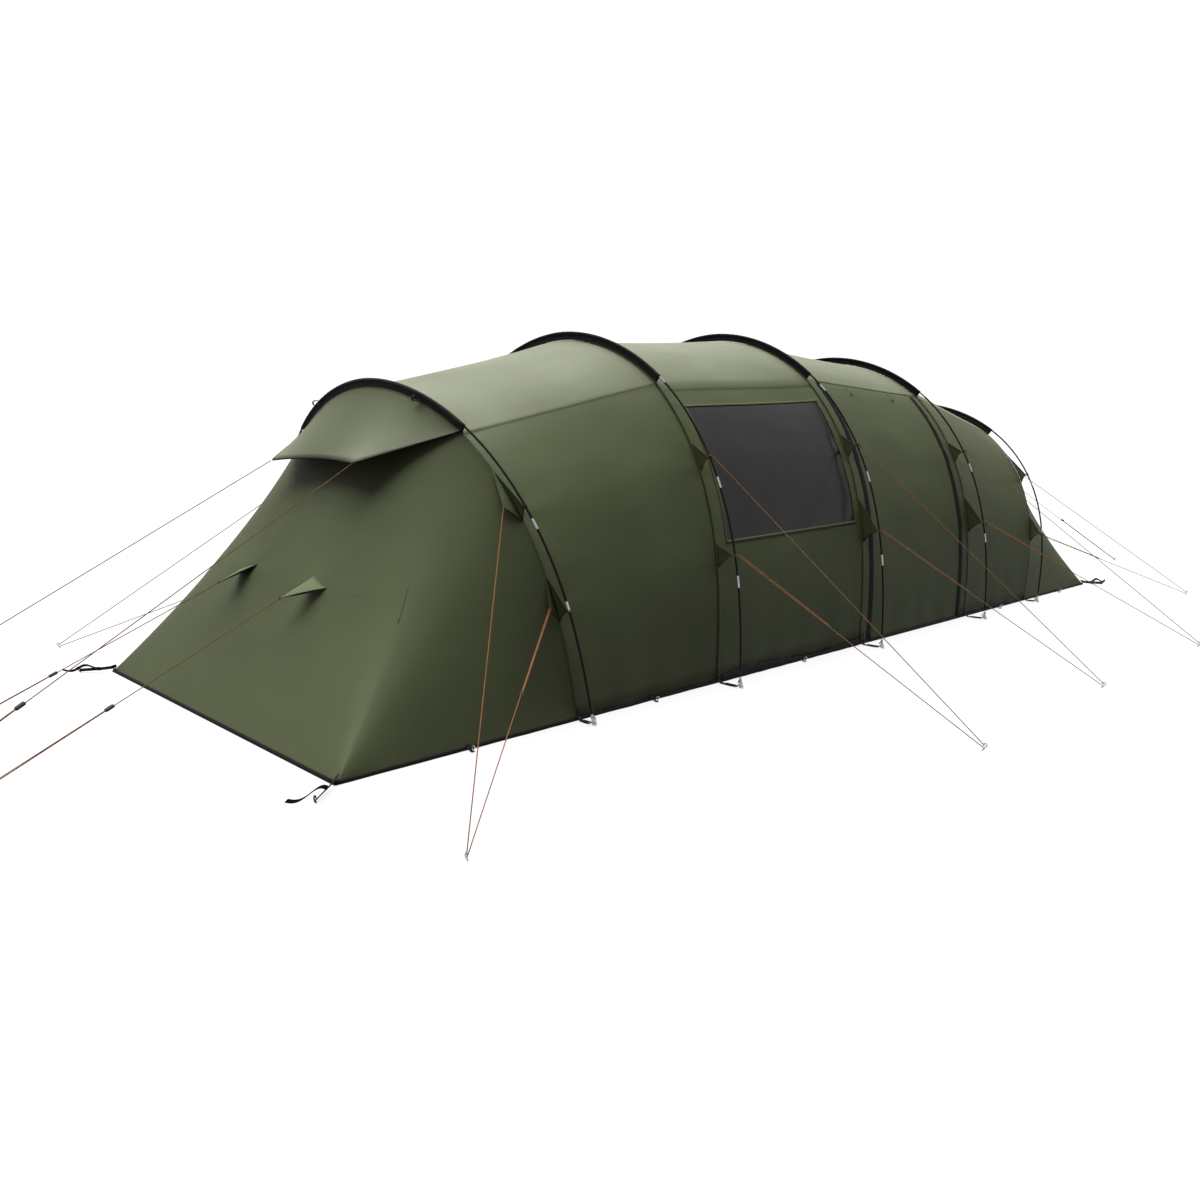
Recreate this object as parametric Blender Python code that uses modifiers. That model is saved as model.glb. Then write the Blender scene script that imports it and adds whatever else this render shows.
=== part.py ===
# Tunnel tent on five arched poles. Metres, +Z up, +X along the tent towards its rear end.
# Origin on the ground under the middle arch. The fly hangs inside the poles from five roof sleeves.
import math

import bmesh
import bpy
from mathutils import Matrix, Vector

# ---- driving dimensions -------------------------------------------------------------------
ARCH_X = [-2.58, -1.50, 0.0, 1.50, 2.58]        # pole feet along the tent
ARCH_HALF_SPAN = [1.45, 1.50, 1.50, 1.50, 1.45]  # pole foot to centre line
ARCH_HEIGHT = [1.69, 2.03, 2.12, 2.03, 1.69]
ARCH_LEAN = [-0.197, 0.0, 0.0, 0.0, 0.197]       # end arches lean outwards
EXP_WIDE = 2.0 / 1.92                            # arch shape, widthwise
EXP_TALL = 2.0 / 2.61                            # arch shape, upwards
POLE_R = 0.0062
FLY_HALF_WIDTH = 1.335
FLY_HALF_LENGTH = 3.90
FABRIC = 0.0016
SEAM_GAP = 0.001                                 # each side of a seam
EAVE = 54.0                                      # degrees round the arch where sleeves end
STEP = 4.5
ROOF_INSET = 0.045                               # sleeve depth: pole to roof
BAY_SAG = 0.014
END_HOLLOW = 0.045
SIDE_END = 18.0                                  # degrees: the end panel fans into its corner
CONE_END = 72.0
DOOR_U = (0.075, 0.925)                          # door edges as fractions of bay 3
WINDOW_U = (0.07, 0.955)
WINDOW_DEG = (18.0, 47.0)
HOOD_CORNER = (3.256, 0.441, 1.257)
TAB_TIP = (3.628, 0.356, 0.617)
CORD_R = 0.0015
SIDE_PEGS = [(-3.94, 2.28), (-1.58, 2.94), (-0.03, 2.90), (1.58, 2.94), (3.94, 2.20)]
CLIP_UP = 33.0
CLIP_LOW = [14.0, 15.5, 15.5, 15.5, 14.0]
END_GUY_UP = (2.862, 1.130, 1.056)              # fabric corners that hold the end arches' guys
END_GUY_LOW = (2.742, 1.315, 0.574)
HOOD_PEG_FRONT = (-5.45, 0.69)
HOOD_PEG_REAR = (6.05, 0.88)
TAB_PEG = (4.95, 0.45)

for old in list(bpy.data.objects):
    bpy.data.objects.remove(old, do_unlink=True)

COLL = bpy.data.collections.new("tent_on_poles")
bpy.context.scene.collection.children.link(COLL)


def material(name, colour, rough, metal=0.0):
    mat = bpy.data.materials.new(name)
    mat.use_nodes = True
    shader = mat.node_tree.nodes["Principled BSDF"]
    shader.inputs["Base Color"].default_value = (colour[0], colour[1], colour[2], 1.0)
    shader.inputs["Roughness"].default_value = rough
    shader.inputs["Metallic"].default_value = metal
    mat.diffuse_color = (colour[0], colour[1], colour[2], 1.0)
    return mat


OLIVE = (0.16, 0.175, 0.115)
BLACK = (0.012, 0.012, 0.013)
ORANGE = (0.70, 0.19, 0.03)
TINT = (0.035, 0.036, 0.04)
GREY = (0.09, 0.092, 0.095)
CREAM = (0.42, 0.41, 0.36)


def put(name, mesh, mat_name, colour, rough, origin=None):
    obj = bpy.data.objects.new(name, mesh)
    COLL.objects.link(obj)
    mesh.materials.clear()
    mesh.materials.append(material(mat_name, colour, rough))
    if origin is not None:
        mesh.transform(Matrix.Translation(-Vector(origin)))
        obj.location = origin
    return obj


def baked(obj):
    deps = bpy.context.evaluated_depsgraph_get()
    mesh = bpy.data.meshes.new_from_object(obj.evaluated_get(deps))
    bpy.data.objects.remove(obj, do_unlink=True)
    return mesh


def cleaned(mesh, floor=True):
    bm = bmesh.new()
    bm.from_mesh(mesh)
    bmesh.ops.remove_doubles(bm, verts=bm.verts, dist=0.0001)
    if floor:
        for v in bm.verts:
            v.co.z = max(v.co.z, 0.0)
    bmesh.ops.recalc_face_normals(bm, faces=bm.faces)
    bm.to_mesh(mesh)
    bm.free()
    return mesh


def arch_yz(i, deg):
    a = math.radians(deg)
    c = math.cos(a)
    s = max(math.sin(a), 0.0)
    y = -ARCH_HALF_SPAN[i] * math.copysign(abs(c) ** EXP_WIDE, c)
    z = ARCH_HEIGHT[i] * s ** EXP_TALL
    return y, z


def arch_normal(i, deg):
    lo = arch_yz(i, max(deg - 0.4, 0.0))
    hi = arch_yz(i, min(deg + 0.4, 180.0))
    ty = hi[0] - lo[0]
    tz = hi[1] - lo[1]
    if deg < 0.5:
        ty = 0.0
    if deg > 179.5:
        ty = 0.0
    length = math.hypot(ty, tz)
    return -tz / length, ty / length          # outward


def arch_point(i, deg, inset=0.0):
    y, z = arch_yz(i, deg)
    ny, nz = arch_normal(i, deg)
    y -= ny * inset
    z -= nz * inset
    return Vector((ARCH_X[i] + ARCH_LEAN[i] * z, y, z))


def fly_inset(i, deg):
    near = min(deg, 180.0 - deg)
    foot = ARCH_HALF_SPAN[i] - FLY_HALF_WIDTH
    if near >= EAVE:
        return ROOF_INSET
    return ROOF_INSET + (foot - ROOF_INSET) * (1.0 - near / EAVE)


def fly_point(i, deg, extra=0.0):
    return arch_point(i, deg, fly_inset(i, deg) + extra)


def sag_weight(deg):
    near = min(deg, 180.0 - deg)
    if near <= EAVE:
        return math.sin(math.pi * near / EAVE)
    return math.sin(math.pi * (deg - EAVE) / (180.0 - 2.0 * EAVE))


def bay_point(i, u, deg, extra=0.0):
    a = fly_point(i, deg)
    b = fly_point(i + 1, deg)
    p = a.lerp(b, u)
    na = arch_normal(i, deg)
    nb = arch_normal(i + 1, deg)
    ny = na[0] * (1 - u) + nb[0] * u
    nz = na[1] * (1 - u) + nb[1] * u
    d = BAY_SAG * 4.0 * u * (1.0 - u) * sag_weight(deg) + extra
    return p + Vector((0.0, -ny * d, -nz * d))


def skin(name, rows, mat_name, colour, rough, thick=FABRIC, keep=None, origin=None, open_end=0.0):
    mesh = bpy.data.meshes.new(name)
    width = len(rows[0])
    verts = [p for row in rows for p in row]
    faces = []
    for r in range(len(rows) - 1):
        for c in range(width - 1):
            if keep is None or keep(r, c):
                k = r * width + c
                faces.append((k, k + 1, k + width + 1, k + width))
    mesh.from_pydata(verts, [], faces)
    bm = bmesh.new()
    bm.from_mesh(mesh)
    bmesh.ops.remove_doubles(bm, verts=bm.verts, dist=0.0004)
    loose = [v for v in bm.verts if not v.link_faces]
    bmesh.ops.delete(bm, geom=loose, context="VERTS")
    bmesh.ops.recalc_face_normals(bm, faces=bm.faces)
    bm.to_mesh(mesh)
    bm.free()
    raw = bpy.data.objects.new(name + "_open", mesh)
    bpy.context.scene.collection.objects.link(raw)
    mod = raw.modifiers.new("thickness", "SOLIDIFY")
    mod.thickness = thick
    mod.offset = open_end
    solid = cleaned(baked(raw))
    return put(name, solid, mat_name, colour, rough, origin)


def tube(name, points, radius, mat_name, colour, rough, res=2, origin=None):
    curve = bpy.data.curves.new(name, "CURVE")
    curve.dimensions = "3D"
    curve.bevel_depth = radius
    curve.bevel_resolution = res
    curve.use_fill_caps = True
    spline = curve.splines.new("POLY")
    spline.points.add(len(points) - 1)
    for k, p in enumerate(points):
        spline.points[k].co = (p[0], p[1], p[2], 1.0)
    raw = bpy.data.objects.new(name + "_path", curve)
    bpy.context.scene.collection.objects.link(raw)
    mesh = cleaned(baked(raw), floor=False)
    for poly in mesh.polygons:
        poly.use_smooth = len(poly.vertices) == 4
    return put(name, mesh, mat_name, colour, rough, origin)


def span(lo, hi, step):
    n = max(1, int(round((hi - lo) / step)))
    return [lo + (hi - lo) * k / n for k in range(n + 1)]


# ---- poles and roof sleeves ---------------------------------------------------------------
def build_pole(i):
    pts = [arch_point(i, d) for d in span(0.0, 180.0, STEP)]
    tilt = POLE_R * abs(ARCH_LEAN[i]) * 1.1
    for k in (0, -1):
        pts[k].z += tilt
        pts[k].x += tilt * ARCH_LEAN[i]
    tube("pole_%d" % (i + 1), pts, POLE_R, "pole_%d" % (i + 1), BLACK, 0.35, res=2)


def build_sleeve(i):
    grip = POLE_R + 0.0013
    flat = 0.0009
    prof = [(flat, -ROOF_INSET + 0.0025), (flat, -0.0145), (grip * 0.85, -grip * 0.66),
            (grip * 0.9, grip * 0.62), (0.0, grip * 1.1), (-grip * 0.9, grip * 0.62),
            (-grip * 0.85, -grip * 0.66), (-flat, -0.0145), (-flat, -ROOF_INSET + 0.0025)]
    lean = Vector((ARCH_LEAN[i], 0.0, 1.0)).normalized()
    side = Vector((lean.z, 0.0, -lean.x))
    rows = []
    for d in span(EAVE, 180.0 - EAVE, STEP):
        ny, nz = arch_normal(i, d)
        out = (Vector((0.0, ny, 0.0)) + lean * nz).normalized()
        base = arch_point(i, d)
        rows.append([base + side * p[0] + out * p[1] for p in prof])
    skin("sleeve_%d" % (i + 1), rows, "sleeve_%d" % (i + 1), BLACK, 0.8, thick=0.0009, open_end=1.0)


for n in range(5):
    build_pole(n)
    build_sleeve(n)


# ---- fly: bays ----------------------------------------------------------------------------
def bay_ends(i):
    length = ARCH_X[i + 1] - ARCH_X[i]
    return SEAM_GAP / length, 1.0 - SEAM_GAP / length


def build_plain_bay(i, name):
    lo, hi = bay_ends(i)
    rows = [[bay_point(i, u, d) for u in (lo, 0.5, hi)] for d in span(0.0, 180.0, STEP)]
    skin(name, rows, name, OLIVE, 0.75)


def hole_bay(i, name, us, ulo, uhi, dlo, dhi):
    degs = set(round(d, 4) for d in span(0.0, 180.0, STEP))
    if dlo > 0.0:
        degs |= {dlo, dhi, 180.0 - dlo, 180.0 - dhi}
    degs = sorted(degs)
    rows = [[bay_point(i, u, d) for u in us] for d in degs]

    def keep(r, c):
        mid_u = 0.5 * (us[c] + us[c + 1])
        mid_d = 0.5 * (degs[r] + degs[r + 1])
        mid_d = min(mid_d, 180.0 - mid_d)
        return not (ulo < mid_u < uhi and dlo < mid_d < dhi)

    skin(name, rows, name, OLIVE, 0.75, keep=keep)


def patch(name, i, us, degs, far, mat_name, colour, rough, origin=None):
    rows = []
    for d in degs:
        dd = 180.0 - d if far else d
        rows.append([bay_point(i, u, dd) for u in us])
    return skin(name, rows, mat_name, colour, rough, origin=origin)


build_plain_bay(0, "fly_bay_1")
build_plain_bay(3, "fly_bay_4")
w_lo, w_hi = WINDOW_U
b_lo, b_hi = bay_ends(1)
hole_bay(1, "fly_bay_2", (b_lo, w_lo, 0.5, w_hi, b_hi), w_lo, w_hi, WINDOW_DEG[0], WINDOW_DEG[1])
d_lo, d_hi = DOOR_U
b_lo, b_hi = bay_ends(2)
hole_bay(2, "fly_bay_3", (b_lo, d_lo, 0.5, d_hi, b_hi), d_lo, d_hi, -1.0, EAVE)

edge_u = 0.0015 / 1.5
win_degs = [WINDOW_DEG[0] + 0.05] + span(22.5, 45.0, STEP) + [WINDOW_DEG[1] - 0.05]
door_degs = span(0.0, EAVE - STEP, STEP) + [EAVE - 0.1]
for far, tag in ((False, "near"), (True, "far")):
    us = (w_lo + edge_u, 0.5, w_hi - edge_u)
    patch("window_" + tag, 1, us, win_degs, far, "window_" + tag, TINT, 0.12)
    us = (d_lo + edge_u, 0.5, d_hi - edge_u)
    hinge = bay_point(2, 0.5, 180.0 - EAVE if far else EAVE)
    patch("door_" + tag, 2, us, door_degs, far, "door_" + tag, OLIVE, 0.75, origin=hinge)


# ---- fly: sloping ends --------------------------------------------------------------------
def base_outline(i, deg, sign):
    near = min(deg, 180.0 - deg)
    side = -1.0 if deg < 90.0 else 1.0
    foot = abs(ARCH_X[i])
    if near < SIDE_END:
        t = near / SIDE_END
        return Vector((sign * (foot + (FLY_HALF_LENGTH - foot) * t), side * FLY_HALF_WIDTH, 0.0))
    if near < CONE_END:
        return Vector((sign * FLY_HALF_LENGTH, side * FLY_HALF_WIDTH, 0.0))
    t = (90.0 - near) / (90.0 - CONE_END)
    return Vector((sign * FLY_HALF_LENGTH, side * FLY_HALF_WIDTH * t, 0.0))


def end_point(i, deg, v, sign):
    top = fly_point(i, deg)
    low = base_outline(i, deg, sign)
    p = top.lerp(low, v)
    near = min(deg, 180.0 - deg)
    face = min(1.0, max(0.0, (near - 40.0) / 40.0))
    inward = Vector((-sign * 0.86, 0.0, -0.5)) * face
    side = 1.0 if deg < 90.0 else -1.0
    inward += Vector((-sign * 0.2, side * 0.75, 0.0)) * (1.0 - face) * min(1.0, near / 30.0)
    return p + inward * END_HOLLOW * 4.0 * v * (1.0 - v)


def build_end(i, name, sign):
    degs = span(0.0, 180.0, STEP)
    start = SEAM_GAP / 1.3
    rows = [[end_point(i, d, v, sign) for v in (start, 0.25, 0.5, 0.75, 1.0)] for d in degs]
    rows[0] = [rows[0][0] + Vector((sign * 0.0002 * k, 0, 0)) for k in range(5)]
    rows[-1] = [rows[-1][0] + Vector((sign * 0.0002 * k, 0, 0)) for k in range(5)]
    skin(name, rows, name, OLIVE, 0.75)


build_end(0, "end_front", -1.0)
build_end(4, "end_rear", 1.0)


# ---- vent hoods over the sloping ends -----------------------------------------------------
def along(path, t):
    lengths = [(path[k + 1] - path[k]).length for k in range(len(path) - 1)]
    want = t * sum(lengths)
    for k, size in enumerate(lengths):
        if want <= size or k == len(lengths) - 1:
            return path[k].lerp(path[k + 1], min(1.0, want / size))
        want -= size
    return path[-1]


def build_hood(i, name, sign):
    hx, hy, hz = HOOD_CORNER
    start, stop = EAVE + 0.5, 180.0 - EAVE - 0.5

    def root(d):
        return fly_point(i, d, extra=-0.008) + Vector((sign * 0.006, 0.0, 0.0))

    mid = Vector((sign * (hx - 0.03), 0.0, hz + 0.018))
    path = [root(start), Vector((sign * hx, -hy, hz)), mid, Vector((sign * hx, hy, hz)), root(stop)]
    rows = []
    count = 20
    for k in range(count + 1):
        t = k / count
        a = root(start + (stop - start) * t)
        b = along(path, t)
        lift = Vector((sign * 0.01, 0.0, 0.01))
        rows.append([a, a.lerp(b, 0.5) + lift * math.sin(math.pi * t), b])
    rows[0] = [rows[0][0] + Vector((0, 0, -0.0002 * k)) for k in range(3)]
    rows[-1] = [rows[-1][0] + Vector((0, 0, -0.0002 * k)) for k in range(3)]
    skin(name, rows, name, OLIVE, 0.75)


build_hood(0, "hood_front", -1.0)
build_hood(4, "hood_rear", 1.0)


# ---- groundsheet and bedroom walls --------------------------------------------------------
def slab(name, outline, hole, thick, mat_name, colour, rough, matrix):
    curve = bpy.data.curves.new(name, "CURVE")
    curve.dimensions = "2D"
    curve.fill_mode = "BOTH"
    curve.extrude = thick * 0.5
    for ring in (outline, hole):
        if ring:
            spline = curve.splines.new("POLY")
            spline.points.add(len(ring) - 1)
            for k, p in enumerate(ring):
                spline.points[k].co = (p[0], p[1], 0.0, 1.0)
            spline.use_cyclic_u = True
    raw = bpy.data.objects.new(name + "_plan", curve)
    bpy.context.scene.collection.objects.link(raw)
    mesh = baked(raw)
    mesh.transform(matrix)
    return put(name, cleaned(mesh, floor=False), mat_name, colour, rough)


gx = FLY_HALF_LENGTH - 0.03
gy = FLY_HALF_WIDTH - 0.02
SHEET_T = 0.002
slab("groundsheet", [(-gx, -gy), (gx, -gy), (gx, gy), (-gx, gy)], None, SHEET_T, "groundsheet", GREY, 0.6,
     Matrix.Translation((0.0, 0.0, SHEET_T * 0.5)))


def build_wall(i, name, x):
    ring = []
    for d in span(0.0, 180.0, 9.0):
        p = fly_point(i, d, extra=0.035)
        ring.append((p.y, max(p.z, 0.006)))
    hole = [(-0.55, 0.12), (0.55, 0.12), (0.60, 0.9), (0.45, 1.45), (0.0, 1.62), (-0.45, 1.45), (-0.60, 0.9)]
    turn = Matrix(((0, 0, 1, x), (1, 0, 0, 0), (0, 1, 0, 0), (0, 0, 0, 1)))
    slab(name, ring, hole, FABRIC, name, CREAM, 0.85, turn)


build_wall(1, "bedroom_wall_front", -1.53)
build_wall(3, "bedroom_wall_rear", 1.53)


# ---- zip sliders --------------------------------------------------------------------------
def build_slider(tag, sign):
    x = 0.028
    half = (0.006, 0.0035, 0.014)
    reach = max(abs(bay_point(2, x / 1.5, d).y) for d in span(0.0, 12.0, 1.0))
    centre = Vector((x, sign * (reach + 0.0015 + half[1]), 0.06))
    bm = bmesh.new()
    bmesh.ops.create_cube(bm, size=1.0)
    bmesh.ops.scale(bm, vec=(half[0] * 2, half[1] * 2, half[2] * 2), verts=bm.verts)
    mesh = bpy.data.meshes.new("zip_slider_" + tag)
    bm.to_mesh(mesh)
    bm.free()
    mesh.transform(Matrix.Translation(centre))
    obj = put("zip_slider_" + tag, mesh, "zip_slider_" + tag, (0.03, 0.03, 0.03), 0.4, origin=centre)
    mod = obj.modifiers.new("soft_edge", "BEVEL")
    mod.width = 0.0015
    mod.segments = 1


build_slider("near", -1.0)
build_slider("far", 1.0)


# ---- pull-out tabs on the sloping ends ----------------------------------------------------
def surface_x(i, sign, y, z):
    best = None
    for d in span(60.0, 120.0, 1.0):
        for k in range(41):
            p = end_point(i, d, k / 40.0, sign)
            gap = (p.y - y) ** 2 + (p.z - z) ** 2
            if best is None or gap < best[0]:
                best = (gap, p)
    return abs(best[1].x)


def build_tab(i, name, sign, side):
    tip = Vector((sign * TAB_TIP[0], side * TAB_TIP[1], TAB_TIP[2]))
    z_hi = 0.70
    z_lo = 0.635
    y = side * 0.39
    hi = Vector((sign * (surface_x(i, sign, y, z_hi) + 0.012), y, z_hi))
    lo = Vector((sign * (surface_x(i, sign, y, z_lo) + 0.012), y, z_lo))
    rows = [[hi, lo], [tip + Vector((0, 0, 0.006)), tip - Vector((0, 0, 0.006))]]
    skin(name, rows, name, OLIVE, 0.75, thick=0.002)


ENDS = ((0, "front", -1.0), (4, "rear", 1.0))
SIDES = (("near", -1.0), ("far", 1.0))
for i_end, word, way in ENDS:
    for tag, side in SIDES:
        build_tab(i_end, "tab_%s_%s" % (word, tag), way, side)


# ---- guy cords ----------------------------------------------------------------------------
def side_guy(i, tag, side):
    up = arch_point(i, CLIP_UP, -(POLE_R + 0.012))
    low = arch_point(i, CLIP_LOW[i], -(POLE_R + 0.012))
    if i in (0, 4):
        way = -1.0 if i == 0 else 1.0
        up = Vector((way * END_GUY_UP[0], -END_GUY_UP[1], END_GUY_UP[2]))
        low = Vector((way * END_GUY_LOW[0], -END_GUY_LOW[1], END_GUY_LOW[2]))
    up.y *= -side
    low.y *= -side
    px, py = SIDE_PEGS[i]
    peg = Vector((px, side * py, 0.014))
    out = Vector((peg.x - low.x, peg.y - low.y, 0.0)).normalized()
    a = peg + (up - peg).normalized() * 0.03 + Vector((0, 0, 0.006))
    b = peg + out * 0.012 + Vector((0, 0, 0.005))
    c = peg + out * 0.012 - Vector((0, 0, 0.006))
    d = peg + (low - peg).normalized() * 0.03 - Vector((0, 0, 0.008))
    d.z = max(d.z, 0.006)
    tube("guy_%d_%s" % (i + 1, tag), [up, a, b, c, d, low], CORD_R, "guy_%d_%s" % (i + 1, tag), ORANGE, 0.7)


def end_guy(name, start, peg, runner_at):
    start = Vector(start)
    peg = Vector(peg)
    way = (peg - start).normalized()
    a = start + way * 0.004
    tube(name, [a, peg], CORD_R, name, ORANGE, 0.7)
    centre = start.lerp(peg, runner_at)
    bm = bmesh.new()
    turn = way.to_track_quat("Z", "Y").to_matrix().to_4x4()
    bmesh.ops.create_cone(bm, cap_ends=False, segments=10, radius1=0.0065, radius2=0.0065, depth=0.042,
                          matrix=Matrix.Translation(centre) @ turn)
    mesh = bpy.data.meshes.new(name + "_runner")
    bm.to_mesh(mesh)
    bm.free()
    raw = bpy.data.objects.new(name + "_runner_open", mesh)
    bpy.context.scene.collection.objects.link(raw)
    mod = raw.modifiers.new("wall", "SOLIDIFY")
    mod.thickness = 0.002
    mod.offset = -1.0
    solid = cleaned(baked(raw), floor=False)
    put(name + "_runner", solid, name + "_runner", BLACK, 0.5, origin=centre)


for n in range(5):
    for tag, side in SIDES:
        side_guy(n, tag, side)

for i_end, word, way in ENDS:
    for tag, side in SIDES:
        px, py = HOOD_PEG_FRONT if way < 0 else HOOD_PEG_REAR
        corner = (way * HOOD_CORNER[0], side * HOOD_CORNER[1], HOOD_CORNER[2])
        end_guy("hood_guy_%s_%s" % (word, tag), corner, (px, side * py, 0.01), 0.715 if way < 0 else 0.6)
        tip = (way * TAB_TIP[0], side * TAB_TIP[1], TAB_TIP[2])
        end_guy("tab_guy_%s_%s" % (word, tag), tip, (way * TAB_PEG[0], side * TAB_PEG[1], 0.01), 0.62)
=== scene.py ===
import math

import bmesh
import bpy
import numpy as np
from mathutils.bvhtree import BVHTree
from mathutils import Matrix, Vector, noise


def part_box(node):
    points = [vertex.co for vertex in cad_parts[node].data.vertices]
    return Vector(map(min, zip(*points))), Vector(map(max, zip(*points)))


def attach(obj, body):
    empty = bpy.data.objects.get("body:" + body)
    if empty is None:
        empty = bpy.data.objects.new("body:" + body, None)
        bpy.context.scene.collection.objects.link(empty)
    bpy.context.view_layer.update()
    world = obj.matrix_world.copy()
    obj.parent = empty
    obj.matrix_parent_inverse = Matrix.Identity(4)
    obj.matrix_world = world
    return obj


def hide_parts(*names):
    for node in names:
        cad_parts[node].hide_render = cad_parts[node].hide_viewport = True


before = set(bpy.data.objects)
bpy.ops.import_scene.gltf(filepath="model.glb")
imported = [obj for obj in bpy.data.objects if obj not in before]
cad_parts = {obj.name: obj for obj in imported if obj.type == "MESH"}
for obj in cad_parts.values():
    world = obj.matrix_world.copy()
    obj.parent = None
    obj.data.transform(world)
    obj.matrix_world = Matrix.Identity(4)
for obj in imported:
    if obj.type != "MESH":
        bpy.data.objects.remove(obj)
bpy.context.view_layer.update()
ROOT = "tent"

# ---- the tent's driving dimensions, as in the CAD, in metres and degrees ------------------
ARCH_X = [-2.58, -1.50, 0.0, 1.50, 2.58]
ARCH_HALF_SPAN = [1.45, 1.50, 1.50, 1.50, 1.45]
ARCH_HEIGHT = [1.69, 2.03, 2.12, 2.03, 1.69]
ARCH_LEAN = [-0.197, 0.0, 0.0, 0.0, 0.197]
EXP_WIDE = 2.0 / 1.92
EXP_TALL = 2.0 / 2.61
POLE_R = 0.0062
FLY_HALF_WIDTH = 1.335
FLY_HALF_LENGTH = 3.90
SEAM_GAP = 0.001
EAVE = 54.0
ROOF_INSET = 0.045
BAY_SAG = 0.014
END_HOLLOW = 0.045
DOOR_U = (0.075, 0.925)
WINDOW_U = (0.07, 0.955)
WINDOW_DEG = (18.0, 47.0)
HOOD_CORNER = (3.256, 0.441, 1.257)
TAB_TIP = (3.628, 0.356, 0.617)
TAB_ROOT = (0.39, 0.665)
CORD_R = 0.0023
SIDE_PEGS = [(-3.94, 2.28), (-1.58, 2.94), (-0.03, 2.90), (1.58, 2.94), (3.94, 2.20)]
CLIP_REACH = POLE_R + 0.012
CLIP_UP = 33.0
CLIP_LOW = [14.0, 15.5, 15.5, 15.5, 14.0]
END_GUY_UP = (2.862, 1.130, 1.056)
END_GUY_LOW = (2.742, 1.315, 0.574)
SIDE_END = 18.0
CONE_END = 72.0
HOOD_PEG_FRONT = (-5.45, 0.69)
HOOD_PEG_REAR = (6.05, 0.88)
TAB_PEG = (4.95, 0.45)
BAY_LENGTH = 1.5
GIRTH_PER_DEG = 0.027
TAPE_THICK = 0.0006
SIDES = (("near", -1.0), ("far", 1.0))
ENDS = ((0, "front", -1.0), (4, "rear", 1.0))


def arch_yz(i, deg):
    """Where an arch is at this angle from its near foot, as a superellipse."""
    a = math.radians(deg)
    c = math.cos(a)
    s = max(math.sin(a), 0.0)
    y = -ARCH_HALF_SPAN[i] * math.copysign(abs(c) ** EXP_WIDE, c)
    return y, ARCH_HEIGHT[i] * s ** EXP_TALL


def arch_normal(i, deg):
    """The arch's outward direction, as y and z."""
    lo = arch_yz(i, max(deg - 0.4, 0.0))
    hi = arch_yz(i, min(deg + 0.4, 180.0))
    ty = 0.0 if deg < 0.5 or deg > 179.5 else hi[0] - lo[0]
    tz = hi[1] - lo[1]
    length = math.hypot(ty, tz)
    return -tz / length, ty / length


def arch_point(i, deg, inset=0.0):
    y, z = arch_yz(i, deg)
    ny, nz = arch_normal(i, deg)
    y -= ny * inset
    z -= nz * inset
    return Vector((ARCH_X[i] + ARCH_LEAN[i] * z, y, z))


def near_deg(deg):
    """The angle up the arch from whichever foot is nearer."""
    return min(deg, 180.0 - deg)


def fly_inset(i, deg):
    """How far the fly hangs inside its arch: least along the roof, most at the foot."""
    near = near_deg(deg)
    foot = ARCH_HALF_SPAN[i] - FLY_HALF_WIDTH
    if near >= EAVE:
        return ROOF_INSET
    return ROOF_INSET + (foot - ROOF_INSET) * (1.0 - near / EAVE)


def fly_point(i, deg, extra=0.0):
    return arch_point(i, deg, fly_inset(i, deg) + extra)


def sag_weight(deg):
    """Nothing at the foot and the eave seams, most halfway between them."""
    near = near_deg(deg)
    if near <= EAVE:
        return math.sin(math.pi * near / EAVE)
    return math.sin(math.pi * (deg - EAVE) / (180.0 - 2.0 * EAVE))


def bay_normal(i, u, deg):
    na = arch_normal(i, deg)
    nb = arch_normal(i + 1, deg)
    slope = (fly_point(i + 1, deg) - fly_point(i, deg)).normalized()
    n = Vector((0.0, na[0] * (1 - u) + nb[0] * u, na[1] * (1 - u) + nb[1] * u))
    n -= slope * n.dot(slope)
    return n.normalized()


def bay_point(i, u, deg, out=0.0):
    p = fly_point(i, deg).lerp(fly_point(i + 1, deg), u)
    na = arch_normal(i, deg)
    nb = arch_normal(i + 1, deg)
    d = BAY_SAG * 4.0 * u * (1.0 - u) * sag_weight(deg)
    p += Vector((0.0, -(na[0] * (1 - u) + nb[0] * u) * d, -(na[1] * (1 - u) + nb[1] * u) * d))
    return p + bay_normal(i, u, deg) * out if out else p


def span(lo, hi, n):
    return [lo + (hi - lo) * k / n for k in range(n + 1)]


def above(h):
    return Vector((0, 0, h))


def steps(path):
    return [(b - a).length for a, b in zip(path, path[1:])]


def square_to(axis):
    """One direction at right angles to axis."""
    ref = Vector((0, 0, 1)) if abs(axis.z) < 0.9 else Vector((1, 0, 0))
    return axis.cross(ref).normalized()


# ---- camera at the photograph's viewing angle ---------------------------------------------
CAMERA_AT = (-5.725, -4.786, 1.392)
CAMERA_TILT = 80.436
CAMERA_TURN = -43.71
CAMERA_LENS = 29.285
cam_data = bpy.data.cameras.new("camera")
cam = bpy.data.objects.new("camera", cam_data)
bpy.context.scene.collection.objects.link(cam)
cam.location = CAMERA_AT
cam.rotation_euler = (math.radians(CAMERA_TILT), 0.0, math.radians(CAMERA_TURN))
cam_data.sensor_width = 36.0
cam_data.lens = CAMERA_LENS
bpy.context.scene.camera = cam


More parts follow.
